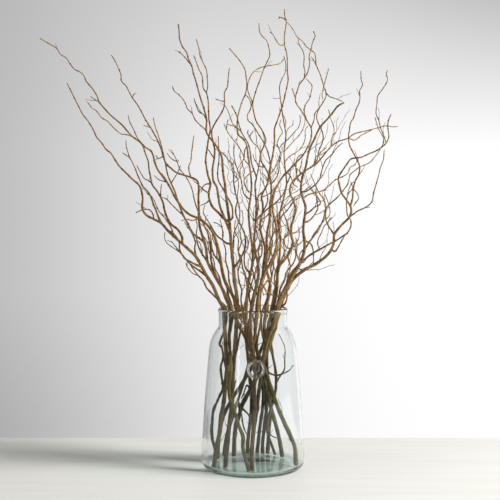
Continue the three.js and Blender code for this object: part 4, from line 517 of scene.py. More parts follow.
def inner_profile(steps):
    corner = (HEEL[0] - WALL, FLOOR)
    edge = (corner[0] - FLOOR_ROUND["width"], FLOOR)
    inside = NECK[0] - WALL
    under_rim = (inside, HEIGHT - LIP["round"])
    return np.vstack([
        [edge],
        bezier([edge, corner, (corner[0], FLOOR + FLOOR_ROUND["height"])], steps),
        body_curve(WALL, steps),
        [(inside, NECK[1] + NECK_ROUND), under_rim],
        bezier([under_rim, (inside, HEIGHT), (NECK[0] - WALL / 2, HEIGHT)], steps),
    ])


CAD_CURVE_STEPS = 3
INSIDE = inner_profile(CAD_CURVE_STEPS)


def room_at(z):
    """Largest distance from the axis that the wood may reach at heights z."""
    above = z - HEIGHT
    over_lip = NECK[0] - WALL + above * CLEAR_ABOVE["slope"]
    room = np.where(above > 0, over_lip, np.interp(z, INSIDE[:, 1], INSIDE[:, 0]))
    return np.where(above > CLEAR_ABOVE["height"], np.inf, room)


def placed(point, y):
    """A waypoint of the front view, moved to its depth y."""
    scale = 1 + y / OUTLINE_FROM["distance"]
    height = OUTLINE_FROM["height"]
    return (point[0] * scale, y, height + (point[1] - height) * scale)


def shares(route):
    """Share of the route's length covered at each waypoint, from 0 to 1."""
    reached = distances(np.array(route, float))
    return reached / reached[-1]


def lay_out():
    """All the wood as chains of shared points. A twig's chain starts with a point of its parent's chain."""
    starts, thickness, chains = [], [], []

    def add_point(position, radius):
        starts.append(position)
        thickness.append(radius)
        return len(starts) - 1

    def add_leader(plan, number):
        foot, (waist_y, mouth_y, tip_y), girth, route = (plan[k] for k in ("foot", "depth", "girth", "route"))
        mouth = next(i for i, (_, z) in enumerate(route) if z >= HEIGHT - RIM_SLACK)
        above = shares(route[mouth:])
        ids = [add_point((foot[0], foot[1], GROUND), girth[0])]
        for i, (x, z) in enumerate(route):
            if i < mouth:
                low, high = (z - GROUND) / (CROSSING - GROUND), (z - CROSSING) / (HEIGHT - CROSSING)
                y = lerp(foot[1], waist_y, low) if z < CROSSING else lerp(waist_y, mouth_y, high)
                ids.append(add_point(placed((x, z), y), lerp(girth[0], girth[1], z / HEIGHT)))
            else:
                along = above[i - mouth]
                phase = i * CURL["step"] + number * CURL["stem_phase"]
                curl = CURL["leader"] * min(1, along / CURL["start"]) * math.sin(phase)
                radius = girth[2] + (girth[1] - girth[2]) * (1 - along) ** TAPER
                ids.append(add_point(placed((x, z), lerp(mouth_y, tip_y, along) + curl), radius))
        radii = [thickness[i] for i in ids]
        chains.append(dict(stem=number, ids=ids, radii=radii, kind="leader"))
        for order, side in enumerate(plan["twigs"], 1):
            add_twig(side, ids, [foot, *route], number, order)

    def add_twig(plan, parent_ids, parent_route, number, order):
        route = plan["route"]
        away = [math.dist(point, route[0]) for point in parent_route[1:]]
        fork = parent_ids[1 + away.index(min(away))]
        wanted = thickness[fork] * (MAIN_TWIG_SHARE if plan["heavy"] else TWIG_SHARE)
        base = min(max(wanted, TWIG_BASE[0]), TWIG_BASE[1])
        along = shares(route)
        ids, radii = [fork], [base]
        for i in range(1, len(route)):
            phase = i * CURL["step"] + number * CURL["stem_phase"] + order
            curl = CURL["twig"] * math.sin(phase) * along[i]
            radii.append(lerp(base, TWIG_TIP, along[i]))
            depth = starts[fork][1] + plan["lean"] * along[i] + curl
            ids.append(add_point(placed(route[i], depth), radii[i]))
        chains.append(dict(stem=number, ids=ids, radii=radii, kind="twig"))
        for k, finer in enumerate(plan["twigs"], 1):
            add_twig(finer, ids, route, number, order + k)

    for number, plan in enumerate(STEMS, 1):
        add_leader(plan, number)
    return np.array(starts, float), chains


def closest(a, b, c, d):
    """Where segments a-b and c-d come closest, as shares along each, and the vector between."""
    u, v, w = b - a, d - c, a - c
    uu, vv, uv = (u * u).sum(1), (v * v).sum(1), (u * v).sum(1)
    uw, vw = (u * w).sum(1), (v * w).sum(1)
    spread = uu * vv - uv * uv
    nearest = np.clip((uv * vw - vv * uw) / np.maximum(spread, PARALLEL), 0, 1)
    s = np.where(spread > PARALLEL, nearest, 0.5)
    t = np.clip((uv * s + vw) / vv, 0, 1)
    s = np.clip((uv * t - uw) / uu, 0, 1)
    return s, t, a + u * s[:, None] - c - v * t[:, None]


def spread_apart(starts, chains):
    """Moves the wood of different stems apart, mostly in depth, and keeps it clear of the glass."""
    at = starts.copy()
    a = np.concatenate([c["ids"][:-1] for c in chains])
    b = np.concatenate([c["ids"][1:] for c in chains])
    ra = np.concatenate([c["radii"][:-1] for c in chains])
    rb = np.concatenate([c["radii"][1:] for c in chains])
    owner = np.concatenate([[c["stem"]] * (len(c["ids"]) - 1) for c in chains])
    previous = a
    following = np.concatenate([[*c["ids"][2:], c["ids"][-1]] for c in chains])
    feet = [c["ids"][0] for c in chains if c["kind"] == "leader"]

    middle = (at[a] + at[b]) / 2
    half = np.linalg.norm(at[b] - at[a], axis=1) / 2
    near = []
    for i in range(len(a) - 1):
        others = np.arange(i + 1, len(a))
        gap = np.linalg.norm(middle[others] - middle[i], axis=1) - half[others] - half[i]
        others = others[(gap < RELAX["reach"]) & (owner[others] != owner[i])]
        near.append(np.column_stack([np.full(len(others), i), others]))
    one, two = np.concatenate(near).T
    between = closest(at[a[one]], at[b[one]], at[a[two]], at[b[two]])[2]
    watched = np.linalg.norm(between, axis=1) < RELAX["reach"]
    one, two = one[watched], two[watched]

    for turn in range(RELAX["rounds"]):
        moves, counts = np.zeros_like(at), np.zeros(len(at))

        def push(segment, share, vector):
            for ids, part in ((a[segment], 1 - share), (b[segment], share)):
                np.add.at(moves, ids, vector * part[:, None])
                np.add.at(counts, ids, part)

        s, t, between = closest(at[a[one]], at[b[one]], at[a[two]], at[b[two]])
        room = lerp(ra[one], rb[one], s) + lerp(ra[two], rb[two], t) + GAP
        missing = room - np.linalg.norm(between, axis=1)
        tight = missing > 0
        way = between[tight] * (RELAX["sideways"], 1, RELAX["sideways"])
        way *= (missing[tight] * RELAX["share"] / np.linalg.norm(way, axis=1))[:, None]
        push(one[tight], s[tight], way)
        push(two[tight], t[tight], -way)

        for share in WALL_SHARES:
            point = lerp(at[a], at[b], share)
            room = room_at(point[:, 2]) - lerp(ra, rb, share) - GAP
            out = np.linalg.norm(point[:, :2], axis=1)
            over = np.flatnonzero(out > room)
            inward = point[over] * (1, 1, 0) * ((room - out) / out)[over, None]
            push(over, np.full(len(over), float(share)), inward)

        at += moves / np.maximum(1, counts)[:, None]
        if turn < RELAX["ease_rounds"]:
            shift = at - starts
            mean = (shift[previous] + shift[following]) / 2
            at[b] += (mean - shift[b]) * RELAX["ease"]
        at[feet, 2] = GROUND
    return at


# ---------- turning chains into smooth wood ----------

FINEST_STEP = 1.6
STEP_SHARE = 0.62  # rings stand this share of the wood's radius apart, or FINEST_STEP if that is more
SIDES = dict(leader=14, twig=9, shoot=6)
FULLER = 0.3  # mm added to the CAD's radius on leaders and twigs, which look too faint without it
ANY_PHASE = 6  # radians over which the random starts of waves spread
SWELLS = ((0.035, 13), (0.025, 5.3))  # long uneven swells along the wood: share of its radius, and length
LOBES = ((2, 0.045), (3, 0.03))  # uneven lobes round the wood: how many, and share of its radius
COLLAR = dict(flare=0.55, reach=1.4)  # how a fork thickens the base of a twig, against the wood it grows from
TIP = dict(reach=3, least=0.3)  # a twig's last three radii narrow to this share of its width
CUT_SLOPE = 0.55  # how slanting the cut ends are
END_RINGS = dict(edge=(0.9, 0.06), inner=(0.35, 0.08), middle=0.05)  # shares of the radius: across, and out
GRAIN_SPREAD = 900  # each branch takes its grain from another place, up to this far off

KNOT = dict(width=1.3, per_radius=0.4, radii=(0.7, 4.5), swell=(0.24, 0.09))
BUD_EVERY = dict(thin=19, per_radius=7.5)  # distance between buds: thin wood, and more for each mm of radius
BUD_FIRST = (0.3, 1)  # share of that distance before the first bud
BUD_VARIES = dict(apart=(0.75, 1.3), length=(0.75, 1.2), turn=0.3)
BUD_CLEAR = 2  # no bud sits this close to the tip
BUD_TURN = math.radians(144)  # willow's buds go round the stem in steps of two fifths
BUD_LENGTH = dict(usual=3.4, radii=(0.7, 1.6, 5), shares=(0.8, 1.0, 0.75))
BUD_RINGS = 6
BUD_SIDES = 6
BUD_KNOT = 0.75  # how dark a bud is, against a knot
BUD_GRAIN = 0.3  # how much coarser a bud's grain is: a millimetre of it counts for this much
# Shares of a bud's length, but sunk of the wood's radius and flat of the bud's width.
BUD_SHAPE = dict(width=0.3, blunt=0.14, round=0.7, behind=0.15, sunk=0.9, lean=0.16, flat=0.7)


def add_object(name, data):
    made = bpy.data.objects.new(name, data)
    bpy.context.scene.collection.objects.link(made)
    return made


def mesh_object(name, points, faces, material, smooth=True):
    """An object in the scene, from points in metres."""
    mesh = bpy.data.meshes.new(name)
    mesh.from_pydata(np.asarray(points, float).tolist(), [], faces)
    mesh.polygons.foreach_set("use_smooth", np.full(len(faces), smooth))
    mesh.materials.append(material)
    return add_object(name, mesh)


class Wood:
    """The mesh of one stem: its vertices, faces and what the bark material reads at each vertex."""

    def __init__(self):
        self.points, self.faces = [], []
        self.marks = {name: [] for name in ("girth", "knot", "cut", "tone")}
        self.grain = []
        self.count = 0

    def add(self, points, faces, grain, **marks):
        self.points.append(points)
        self.faces.append([[i + self.count for i in face] for face in faces])
        self.grain.append(grain)
        for name, column in self.marks.items():
            column.append(np.broadcast_to(np.asarray(marks.get(name, 0.0), float), len(points)))
        self.count += len(points)

    def make(self, name, material):
        faces = [face for part in self.faces for face in part]
        piece = mesh_object(name, np.vstack(self.points) * MM, faces, material)
        for mark, column in self.marks.items():
            layer = piece.data.attributes.new(mark, "FLOAT", "POINT")
            layer.data.foreach_set("value", np.concatenate(column).astype(np.float32))
        layer = piece.data.attributes.new("grain", "FLOAT_VECTOR", "POINT")
        layer.data.foreach_set("vector", np.vstack(self.grain).astype(np.float32).ravel())
        piece.data.validate()
        piece.data.update()
        return piece


def smooth_line(line, radii):
    """A Catmull-Rom curve through a chain's points, as (points, radii, distances)."""
    ends = np.vstack([2 * line[0] - line[1], line, 2 * line[-1] - line[-2]])
    points, widths = [line[:1]], [radii[:1]]
    for i in range(len(line) - 1):
        p0, p1, p2, p3 = ends[i : i + 4]
        step = max(FINEST_STEP, STEP_SHARE * (radii[i] + radii[i + 1]) / 2)
        t = np.linspace(0, 1, max(3, math.ceil(math.dist(p1, p2) / step)) + 1)[1:, None]
        slope = (p2 - p0) / 2
        bend = p0 - 2.5 * p1 + 2 * p2 - p3 / 2
        twist = (3 * p1 - p0 - 3 * p2 + p3) / 2
        points.append(p1 + t * slope + t**2 * bend + t**3 * twist)
        widths.append(lerp(radii[i], radii[i + 1], t[:, 0]))
    points = np.vstack(points)
    return points, np.concatenate(widths), distances(points)


def turning_frames(points):
    """Tangents and two cross directions along a line, turned as little as possible from ring to ring."""
    tangents = np.gradient(points, axis=0)
    tangents /= np.linalg.norm(tangents, axis=1)[:, None]
    side = np.cross(tangents[0], (0, 0, 1) if abs(tangents[0][2]) < 0.9 else (1, 0, 0))
    sides = np.empty_like(points)
    for i, along in enumerate(tangents):
        side = side - along * (side @ along)
        side /= np.linalg.norm(side)
        sides[i] = side
    return tangents, sides, np.cross(tangents, sides)


def bud_places(gone, radii, rng):
    """Distances along the wood at which buds sit."""
    places, at = [], BUD_EVERY["thin"] * rng.uniform(*BUD_FIRST)
    while at < gone[-1] - BUD_CLEAR:
        places.append(at)
        radius = np.interp(at, gone, radii)
        apart = BUD_EVERY["thin"] + BUD_EVERY["per_radius"] * (radius - TWIG_TIP)
        at += apart * rng.uniform(*BUD_VARIES["apart"])
    return np.array(places)


def closed_tube(rings, count):
    """Faces of a tube of rings of count vertices, closed by a fan round one more vertex at each end."""
    first, last = rings * count, rings * count + 1
    top = (rings - 1) * count
    faces = []
    for k in range(count):
        after = (k + 1) % count
        faces += [(i + k, i + after, i + count + after, i + count + k) for i in range(0, top, count)]
        faces += [(after, k, first), (top + k, top + after, last)]
    return faces


def add_bud(wood, at, along, out, radius, size, tone):
    """A pointed bud, pressed against the wood and leaning out at its tip."""
    shape = BUD_SHAPE
    across = np.cross(along, out)
    share = np.linspace(0, 1, BUD_RINGS)
    arch = np.sin(np.pi * np.minimum(1, share * (1 - shape["blunt"]) + shape["blunt"]))
    width = size * shape["width"] * arch ** shape["round"]
    up = (share - shape["behind"]) * size
    away = radius * shape["sunk"] + share * size * shape["lean"]
    centres = at + np.outer(up, along) + np.outer(away, out)
    turn = np.linspace(0, 2 * math.pi, BUD_SIDES, endpoint=False)
    ring = np.outer(np.cos(turn), across) + np.outer(np.sin(turn), out * shape["flat"])
    surface = centres[:, None] + width[:, None, None] * ring
    points = np.vstack([surface.reshape(-1, 3), centres[:1], centres[-1:]])
    faces = closed_tube(BUD_RINGS, BUD_SIDES)
    wood.add(points, faces, points * BUD_GRAIN, girth=radius, knot=BUD_KNOT, tone=tone)


def ends_added(surface, tangents, widths):
    """A tube's rings with an edge ring and a small inner ring at each end, and the two end points."""
    rows, tips = [], []
    for rim, way, radius in ((surface[0], -tangents[0], widths[0]), (surface[-1], tangents[-1], widths[-1])):
        centre = rim.mean(0)
        rings = (END_RINGS["edge"], END_RINGS["inner"])
        rows.append([lerp(centre, rim, share) + way * radius * out for share, out in rings])
        tips.append(centre + way * radius * END_RINGS["middle"])
    (edge, inner), (far_edge, far_inner) = rows
    return np.stack([inner, edge, *surface, far_edge, far_inner]), tips


def level_direction(rng):
    angle = rng.uniform(0, 2 * math.pi)
    return np.array([math.cos(angle), math.sin(angle), 0])


def add_branch(wood, line, radii, kind, rng, tone, parent_radius=0.0):
    """One leader, twig or shoot, from a chain of points: a round tapering tube with knots, buds and ends."""
    points, widths, gone = smooth_line(np.asarray(line, float), np.asarray(radii, float))
    widths = widths + FULLER * (kind != "shoot")
    tangents, sides, others = turning_frames(points)
    places = bud_places(gone, widths, rng)
    knots = np.zeros(len(gone))
    for place in places:
        width = KNOT["width"] + KNOT["per_radius"] * np.interp(place, gone, widths)
        knots = np.maximum(knots, np.exp(-(((gone - place) / width) ** 2)))
    swell = 1 + knots * np.interp(widths, KNOT["radii"], KNOT["swell"])
    sway = sum(share * np.sin(gone / length + rng.uniform(0, ANY_PHASE)) for share, length in SWELLS)
    collar = 0.0
    if parent_radius:
        collar = COLLAR["flare"] * np.exp(-gone / (COLLAR["reach"] * parent_radius))
    tip = 1.0
    if kind != "leader":
        tip = np.sqrt(np.clip((gone[-1] - gone) / (TIP["reach"] * widths[-1]), 0.0, 1.0))
    size = widths * (swell + sway + collar) * np.maximum(tip, TIP["least"])

    count = SIDES[kind]
    turn = 2 * math.pi * np.arange(count) / count
    phases = rng.uniform(0, ANY_PHASE, len(LOBES))
    uneven = 1 + sum(share * np.sin(n * turn + phase) for (n, share), phase in zip(LOBES, phases))
    ring = sides[:, None] * (np.cos(turn) * uneven)[:, None]
    ring = ring + others[:, None] * (np.sin(turn) * uneven)[:, None]
    surface = points[:, None] + size[:, None, None] * ring
    if kind == "leader":
        surface[0, :, 2] = GROUND
        slant = rng.uniform(0.2, 1) * CUT_SLOPE * (1 - ring[0] @ level_direction(rng)) * size[0]
        surface[0] += slant[:, None] * tangents[0]
    surface, tips = ends_added(surface, tangents, widths)

    def along(values):
        """A value of each ring, repeated for the end rings, at every vertex."""
        values = np.concatenate([values[:1], values[:1], values, values[-1:], values[-1:]])
        return np.concatenate([np.repeat(values, count), values[:1], values[-1:]])

    width_at = along(widths)
    angle_at = np.concatenate([np.tile(turn, len(surface)), [0, 0]])
    offset = rng.uniform(0, GRAIN_SPREAD)
    grain = np.column_stack([np.cos(angle_at) * width_at, np.sin(angle_at) * width_at, along(gone) + offset])
    pale = np.zeros(len(surface))
    if kind == "leader":
        pale[[0, 1, -2, -1]] = 1
    wood.add(
        np.vstack([surface.reshape(-1, 3), tips]), closed_tube(len(surface), count), grain,
        girth=width_at, knot=along(knots), tone=tone,
        cut=np.concatenate([np.repeat(pale, count), pale[[0, -1]]]),
    )

    spin = rng.uniform(0, ANY_PHASE)
    for number, place in enumerate(places):
        i = int(np.searchsorted(gone, place))
        angle = spin + number * BUD_TURN + rng.normal(0, BUD_VARIES["turn"])
        out = math.cos(angle) * sides[i] + math.sin(angle) * others[i]
        length = BUD_LENGTH["usual"] * rng.uniform(*BUD_VARIES["length"])
        length *= np.interp(widths[i], BUD_LENGTH["radii"], BUD_LENGTH["shares"])
        add_bud(wood, points[i], tangents[i], out, size[i], length, tone)
    return points, widths, tangents, sides, others


# ---------- fine side shoots ----------

SHOOT_EVERY = dict(open=420, tangle=85, vase=200)  # mean distance between shoots along the wood
SHOOT_LENGTH = dict(open=(10, 40), tangle=(50, 170), vase=(10, 60))  # shortest and longest
SHOOT_ON = (0.9, 3.6)  # radii of the wood that bears shoots
SHOOT_RADIUS = (0.45, 0.95)  # at the tip and, at most, at the base
SHOOT_SPREAD = (0.25, 0.85)  # radians that a shoot leaves its parent's course by
SHOOT_STEP = 6.5
SHOOT_CURL = dict(bend=0.16, turning=(0.7, 1.3), wobble=0.09, rise=0.05)  # how its heading changes each step
SHOOT_START = (10, 90)  # distance to the first shoot on a branch
SHOOT_APART = 12  # least distance between shoots
SHOOT_TONE = 0.15  # how much darker shoots are than the wood they grow on
BARE_TIP = 8  # the last stretch of a branch, which bears none
LOWEST_SHOOT = 45
TANGLE = dict(x=(-60, 165), z=(405, 760))  # where the shoots are long and close together
SHOOT_BOX = [np.array(corner) / MM for corner in CAD_BOX]
BOX_MARGIN = 10  # how far the shoots stay inside the CAD's box
GLASS_MARGIN = 2
ABOVE_RIM = 10  # the vase's zone ends this far above its rim


def zone_of(point):
    """Which stretch of the bunch a point is in: the vase, the tangle above its mouth or the open fan."""
    if point[2] < HEIGHT + ABOVE_RIM:
        return "vase"
    (left, right), (low, high) = TANGLE["x"], TANGLE["z"]
    return "tangle" if left < point[0] < right and low < point[2] < high else "open"


def has_room(point):
    """Whether a shoot may reach a point: clear of the glass and well inside the CAD's box."""
    low, high = SHOOT_BOX
    inside = np.all(point > low + BOX_MARGIN) and np.all(point < high - BOX_MARGIN)
    return inside and math.hypot(point[0], point[1]) < room_at(point[2]) - GLASS_MARGIN


def grow_shoot(start, way, length, rng):
    """Waypoints of a curling shoot: it winds round its own heading and turns slowly upwards."""
    points, heading = [start], way / np.linalg.norm(way)
    bend = rng.normal(size=3) * SHOOT_CURL["bend"]
    turning = rng.uniform(*SHOOT_CURL["turning"])
    for i in range(max(2, round(length / SHOOT_STEP))):
        swing = bend * math.cos(i * turning) + rng.normal(size=3) * SHOOT_CURL["wobble"]
        heading = heading + swing + np.array([0, 0, SHOOT_CURL["rise"]])
        heading /= np.linalg.norm(heading)
        point = points[-1] + heading * SHOOT_STEP
        if not has_room(point):
            break
        points.append(point)
    return points


def add_shoots(wood, branch, rng, tone):
    """Fine shoots at random places along a finished branch."""
    points, widths, tangents, sides, others = branch
    gone = distances(points)
    at = rng.uniform(*SHOOT_START)
    while at < gone[-1] - BARE_TIP:
        i = int(np.searchsorted(gone, at))
        zone = zone_of(points[i])
        bears = SHOOT_ON[0] < widths[i] < SHOOT_ON[1] or zone == "vase"
        if bears and points[i][2] > LOWEST_SHOOT:
            angle = rng.uniform(0, 2 * math.pi)
            out = math.cos(angle) * sides[i] + math.sin(angle) * others[i]
            spread = rng.uniform(*SHOOT_SPREAD)
            way = tangents[i] * math.cos(spread) + out * math.sin(spread)
            line = grow_shoot(points[i], way, rng.uniform(*SHOOT_LENGTH[zone]), rng)
            if len(line) > 2:
                base = min(SHOOT_RADIUS[1], TWIG_SHARE * widths[i])
                radii = np.linspace(base, SHOOT_RADIUS[0], len(line))
                add_branch(wood, line, radii, "shoot", rng, tone, parent_radius=widths[i])
        at += rng.exponential(SHOOT_EVERY[zone]) + SHOOT_APART


# ---------- the vase ----------

PROFILE_STEPS = 24
ROW_EVERY = dict(seal=0.9, plain=4.0)
COLUMN_EVERY = dict(seal=0.45, plain=3.0)  # degrees
SEAL_MARGIN = 4
GLASS_WAVE = 0.25  # how uneven the hand-blown wall is
INNER_WAVE = 0.8  # and its inside, against the outside
WAVE_FADE = dict(height=40, radius=60)  # it fades over this height at floor and rim, and ends at this radius
GLASS_WAVES = ((2, 1.0, 70), (3, 0.6, -45), (5, 0.5, 31))  # turns round the vase, share and slant
PONTIL_RISE = 3.0  # the underside is hollowed this much at the middle
PONTIL_RADIUS = 88
DISC_RINGS = 12  # rings across the underside and across the floor
MOTIF = dict(height=0.9, leaf=(3.2, 4.8), tilt=math.radians(37), aside=4.6, levels=(-3, 2, 7),
             stem=0.7, slant=0.12, reach=11)
# Where each rounded edge of the seal's relief starts and ends, against that edge's own radius or width.
# A leaf's are shares of its outline, and the sprig ends this far clear of the rim.
SEAL_SOFT = dict(field=(-0.5, 1), rim=(-1, 0.6), inner=(-1, 0), stalk=0.5, leaf=(0.35, 0.9), clear=1.2)


def resampled(profile, near_seal):
    """A profile with rows at even distances, closer together where the seal is."""
    gone = distances(profile)
    places, at = [0.0], 0.0
    reach = SEAL["radius"] + SEAL_MARGIN
    while at < gone[-1]:
        height = np.interp(at, gone, profile[:, 1])
        close = near_seal and abs(height - SEAL["z"]) < reach
        at += ROW_EVERY["seal" if close else "plain"]
        places.append(min(at, gone[-1]))
    return np.column_stack([np.interp(places, gone, profile[:, i]) for i in (0, 1)])


def column_angles():
    """Angles round the vase from the front, closer together where the seal is."""
    middle = math.degrees(math.asin(SEAL["x"] / WAIST[0]))
    reach = math.degrees((SEAL["radius"] + SEAL_MARGIN) / WAIST[0])
    fine = np.arange(middle - reach, middle + reach, COLUMN_EVERY["seal"])
    plain = np.arange(middle + reach, middle + 360 - reach, COLUMN_EVERY["plain"])
    return np.radians(np.concatenate([fine, plain]))


def smooth_step(value, start, end):
    t = np.clip((value - start) / (end - start), 0, 1)
    return t * t * (3 - 2 * t)


def seal_relief(x, z):
    """How far the pressed seal stands out of the wall: a rim round a low field with a plain sprig on it."""
    dx, dz = x - SEAL["x"], z - SEAL["z"]
    out = np.hypot(dx, dz)
    radius, inner = SEAL["radius"], SEAL["radius"] - SEAL["rim_width"]
    soft = SEAL_SOFT
    body = SEAL["field"] * (1 - smooth_step(out, *(radius + edge for edge in soft["field"])))
    raised = smooth_step(out, *(inner + edge for edge in soft["inner"]))
    raised = raised * (1 - smooth_step(out, *(radius + edge for edge in soft["rim"])))
    rim = (SEAL["rim"] - SEAL["field"]) * raised
    off_stalk = np.abs(dx - MOTIF["slant"] * dz)
    stalk = 1 - smooth_step(off_stalk, MOTIF["stem"] / 2, MOTIF["stem"] + soft["stalk"])
    motif = stalk * (np.abs(dz) < MOTIF["reach"])
    cosine, sine = math.cos(MOTIF["tilt"]), math.sin(MOTIF["tilt"])
    for level in MOTIF["levels"]:
        for side in (-1, 1):
            away, above = (dx - side * MOTIF["aside"]) * side, dz - level
            across, along = away * cosine + above * sine, above * cosine - away * sine
            leaf = (along / MOTIF["leaf"][0]) ** 2 + (across / MOTIF["leaf"][1]) ** 2
            motif = np.maximum(motif, 1 - smooth_step(leaf, *soft["leaf"]))
    return body + rim + MOTIF["height"] * motif * (out < inner - soft["clear"])


def vase_piece(material):
    """The glass as one closed surface: outside with the seal, rim, inside and thick floor."""
    outer = resampled(outer_profile(PROFILE_STEPS), near_seal=True)
    inner = resampled(inner_profile(PROFILE_STEPS), near_seal=False)[::-1]
    across = np.linspace(0, REST_RADIUS, DISC_RINGS + 2)[1:-1]
    hollow = np.minimum(across / PONTIL_RADIUS, 1)
    under = np.column_stack([across, PONTIL_RISE * np.cos(hollow * math.pi / 2) ** 2])
    inward = np.linspace(inner[-1, 0], 0, DISC_RINGS + 2)[1:-1]
    floor = np.column_stack([inward, np.full(DISC_RINGS, float(FLOOR))])
    profile = np.vstack([under, outer, inner[1:], floor])
    outside = np.arange(len(profile)) < len(under) + len(outer)
    angles = column_angles()

    radius, height = profile[:, :1], profile[:, 1:]
    wave = sum(size * np.sin(turns * angles + height / rise) for turns, size, rise in GLASS_WAVES)
    fade = np.clip(np.minimum(height - FLOOR, HEIGHT - height) / WAVE_FADE["height"], 0, 1)
    fade = fade * (radius > WAVE_FADE["radius"])
    radii = radius + GLASS_WAVE * wave * fade * np.where(outside, 1.0, INNER_WAVE)[:, None]
    x, y = radii * np.sin(angles), -radii * np.cos(angles)
    relief = seal_relief(x, np.broadcast_to(height, x.shape)) * outside[:, None] * (y < 0)
    y = y - relief
    z = np.broadcast_to(height, x.shape)

    rows, count = x.shape
    ends = [(0, 0, PONTIL_RISE), (0, 0, FLOOR)]
    points = np.vstack([np.stack([x, y, z], axis=-1).reshape(-1, 3), ends])
    return mesh_object("vase", points * MM, closed_tube(rows, count), material)


# ---------- materials ----------

BARK_GIRTH = (0.6, 5.0)  # radii between which the bark goes from a thin twig's colours to a thick stem's
OUT_OF_VASE = (0.22, 0.36)  # heights in metres where the bark goes from its painted shade in the vase to its colours in the open air above
DARK_TONE = (1.2, 0.85)  # the tone that is darkest, and how much of the dark colour it takes
PALE_TONE = (-1.2, 0.65)
GLASS_FOOT = (0.016, 0.003)  # heights in metres between which the glass turns green and darker, going down: the thick glass's green with painted shade at the foot


def colour(red, green, blue):
    """A screen colour, 0 to 255, as the linear colour that a shader takes."""
    def linear(value):
        value /= 255
        return value / 12.92 if value <= 0.04045 else ((value + 0.055) / 1.055) ** 2.4

    return (linear(red), linear(green), linear(blue), 1)


class Nodes:
    """A node tree, with one short call for each kind of node."""

    def __init__(self, tree):
        self.tree = tree
        tree.nodes.clear()

    def add(self, kind, inputs=(), **settings):
        made = self.tree.nodes.new("ShaderNode" + kind)
        for name, value in settings.items():
            setattr(made, name, value)
        for name, value in dict(inputs).items():
            if isinstance(value, bpy.types.NodeSocket):
                self.tree.links.new(value, made.inputs[name])
            else:
                made.inputs[name].default_value = value
        return made

    def mark(self, name):
        return self.add("Attribute", attribute_name=name).outputs["Fac"]

    def math(self, operation, a, b=0.0):
        return self.add("Math", {0: a, 1: b}, operation=operation).outputs[0]

    def ranged(self, value, low, high, to_low=0.0, to_high=1.0):
        inputs = {"Value": value, "From Min": low, "From Max": high, "To Min": to_low, "To Max": to_high}
        return self.add("MapRange", inputs).outputs["Result"]

    def mix(self, factor, a, b, blend="MIX"):
        made = self.add("Mix", {0: factor, 6: a, 7: b}, data_type="RGBA", blend_type=blend)
        return made.outputs[2]

    def stretched(self, vector, scale):
        return self.add("Mapping", {"Vector": vector, "Scale": scale}).outputs["Vector"]

    def noise(self, vector, scale, detail=3.0, rough=0.55):
        inputs = {"Vector": vector, "Scale": scale, "Detail": detail, "Roughness": rough}
        return self.add("TexNoise", inputs).outputs["Fac"]

    def ramp(self, factor, stops):
        made = self.add("ValToRGB", {"Fac": factor})
        elements = made.color_ramp.elements
        while len(elements) < len(stops):
            elements.new(0.5)
        for element, (place, tint) in zip(elements, stops):
            element.position = place
            element.color = tint
        return made.outputs["Color"]

    def greys(self, factor, stops):
        return self.ramp(factor, [(place, (grey, grey, grey, 1)) for place, grey in stops])


def new_material(name):
    material = bpy.data.materials.new(name)
    material.use_nodes = True
    return material, Nodes(material.node_tree)


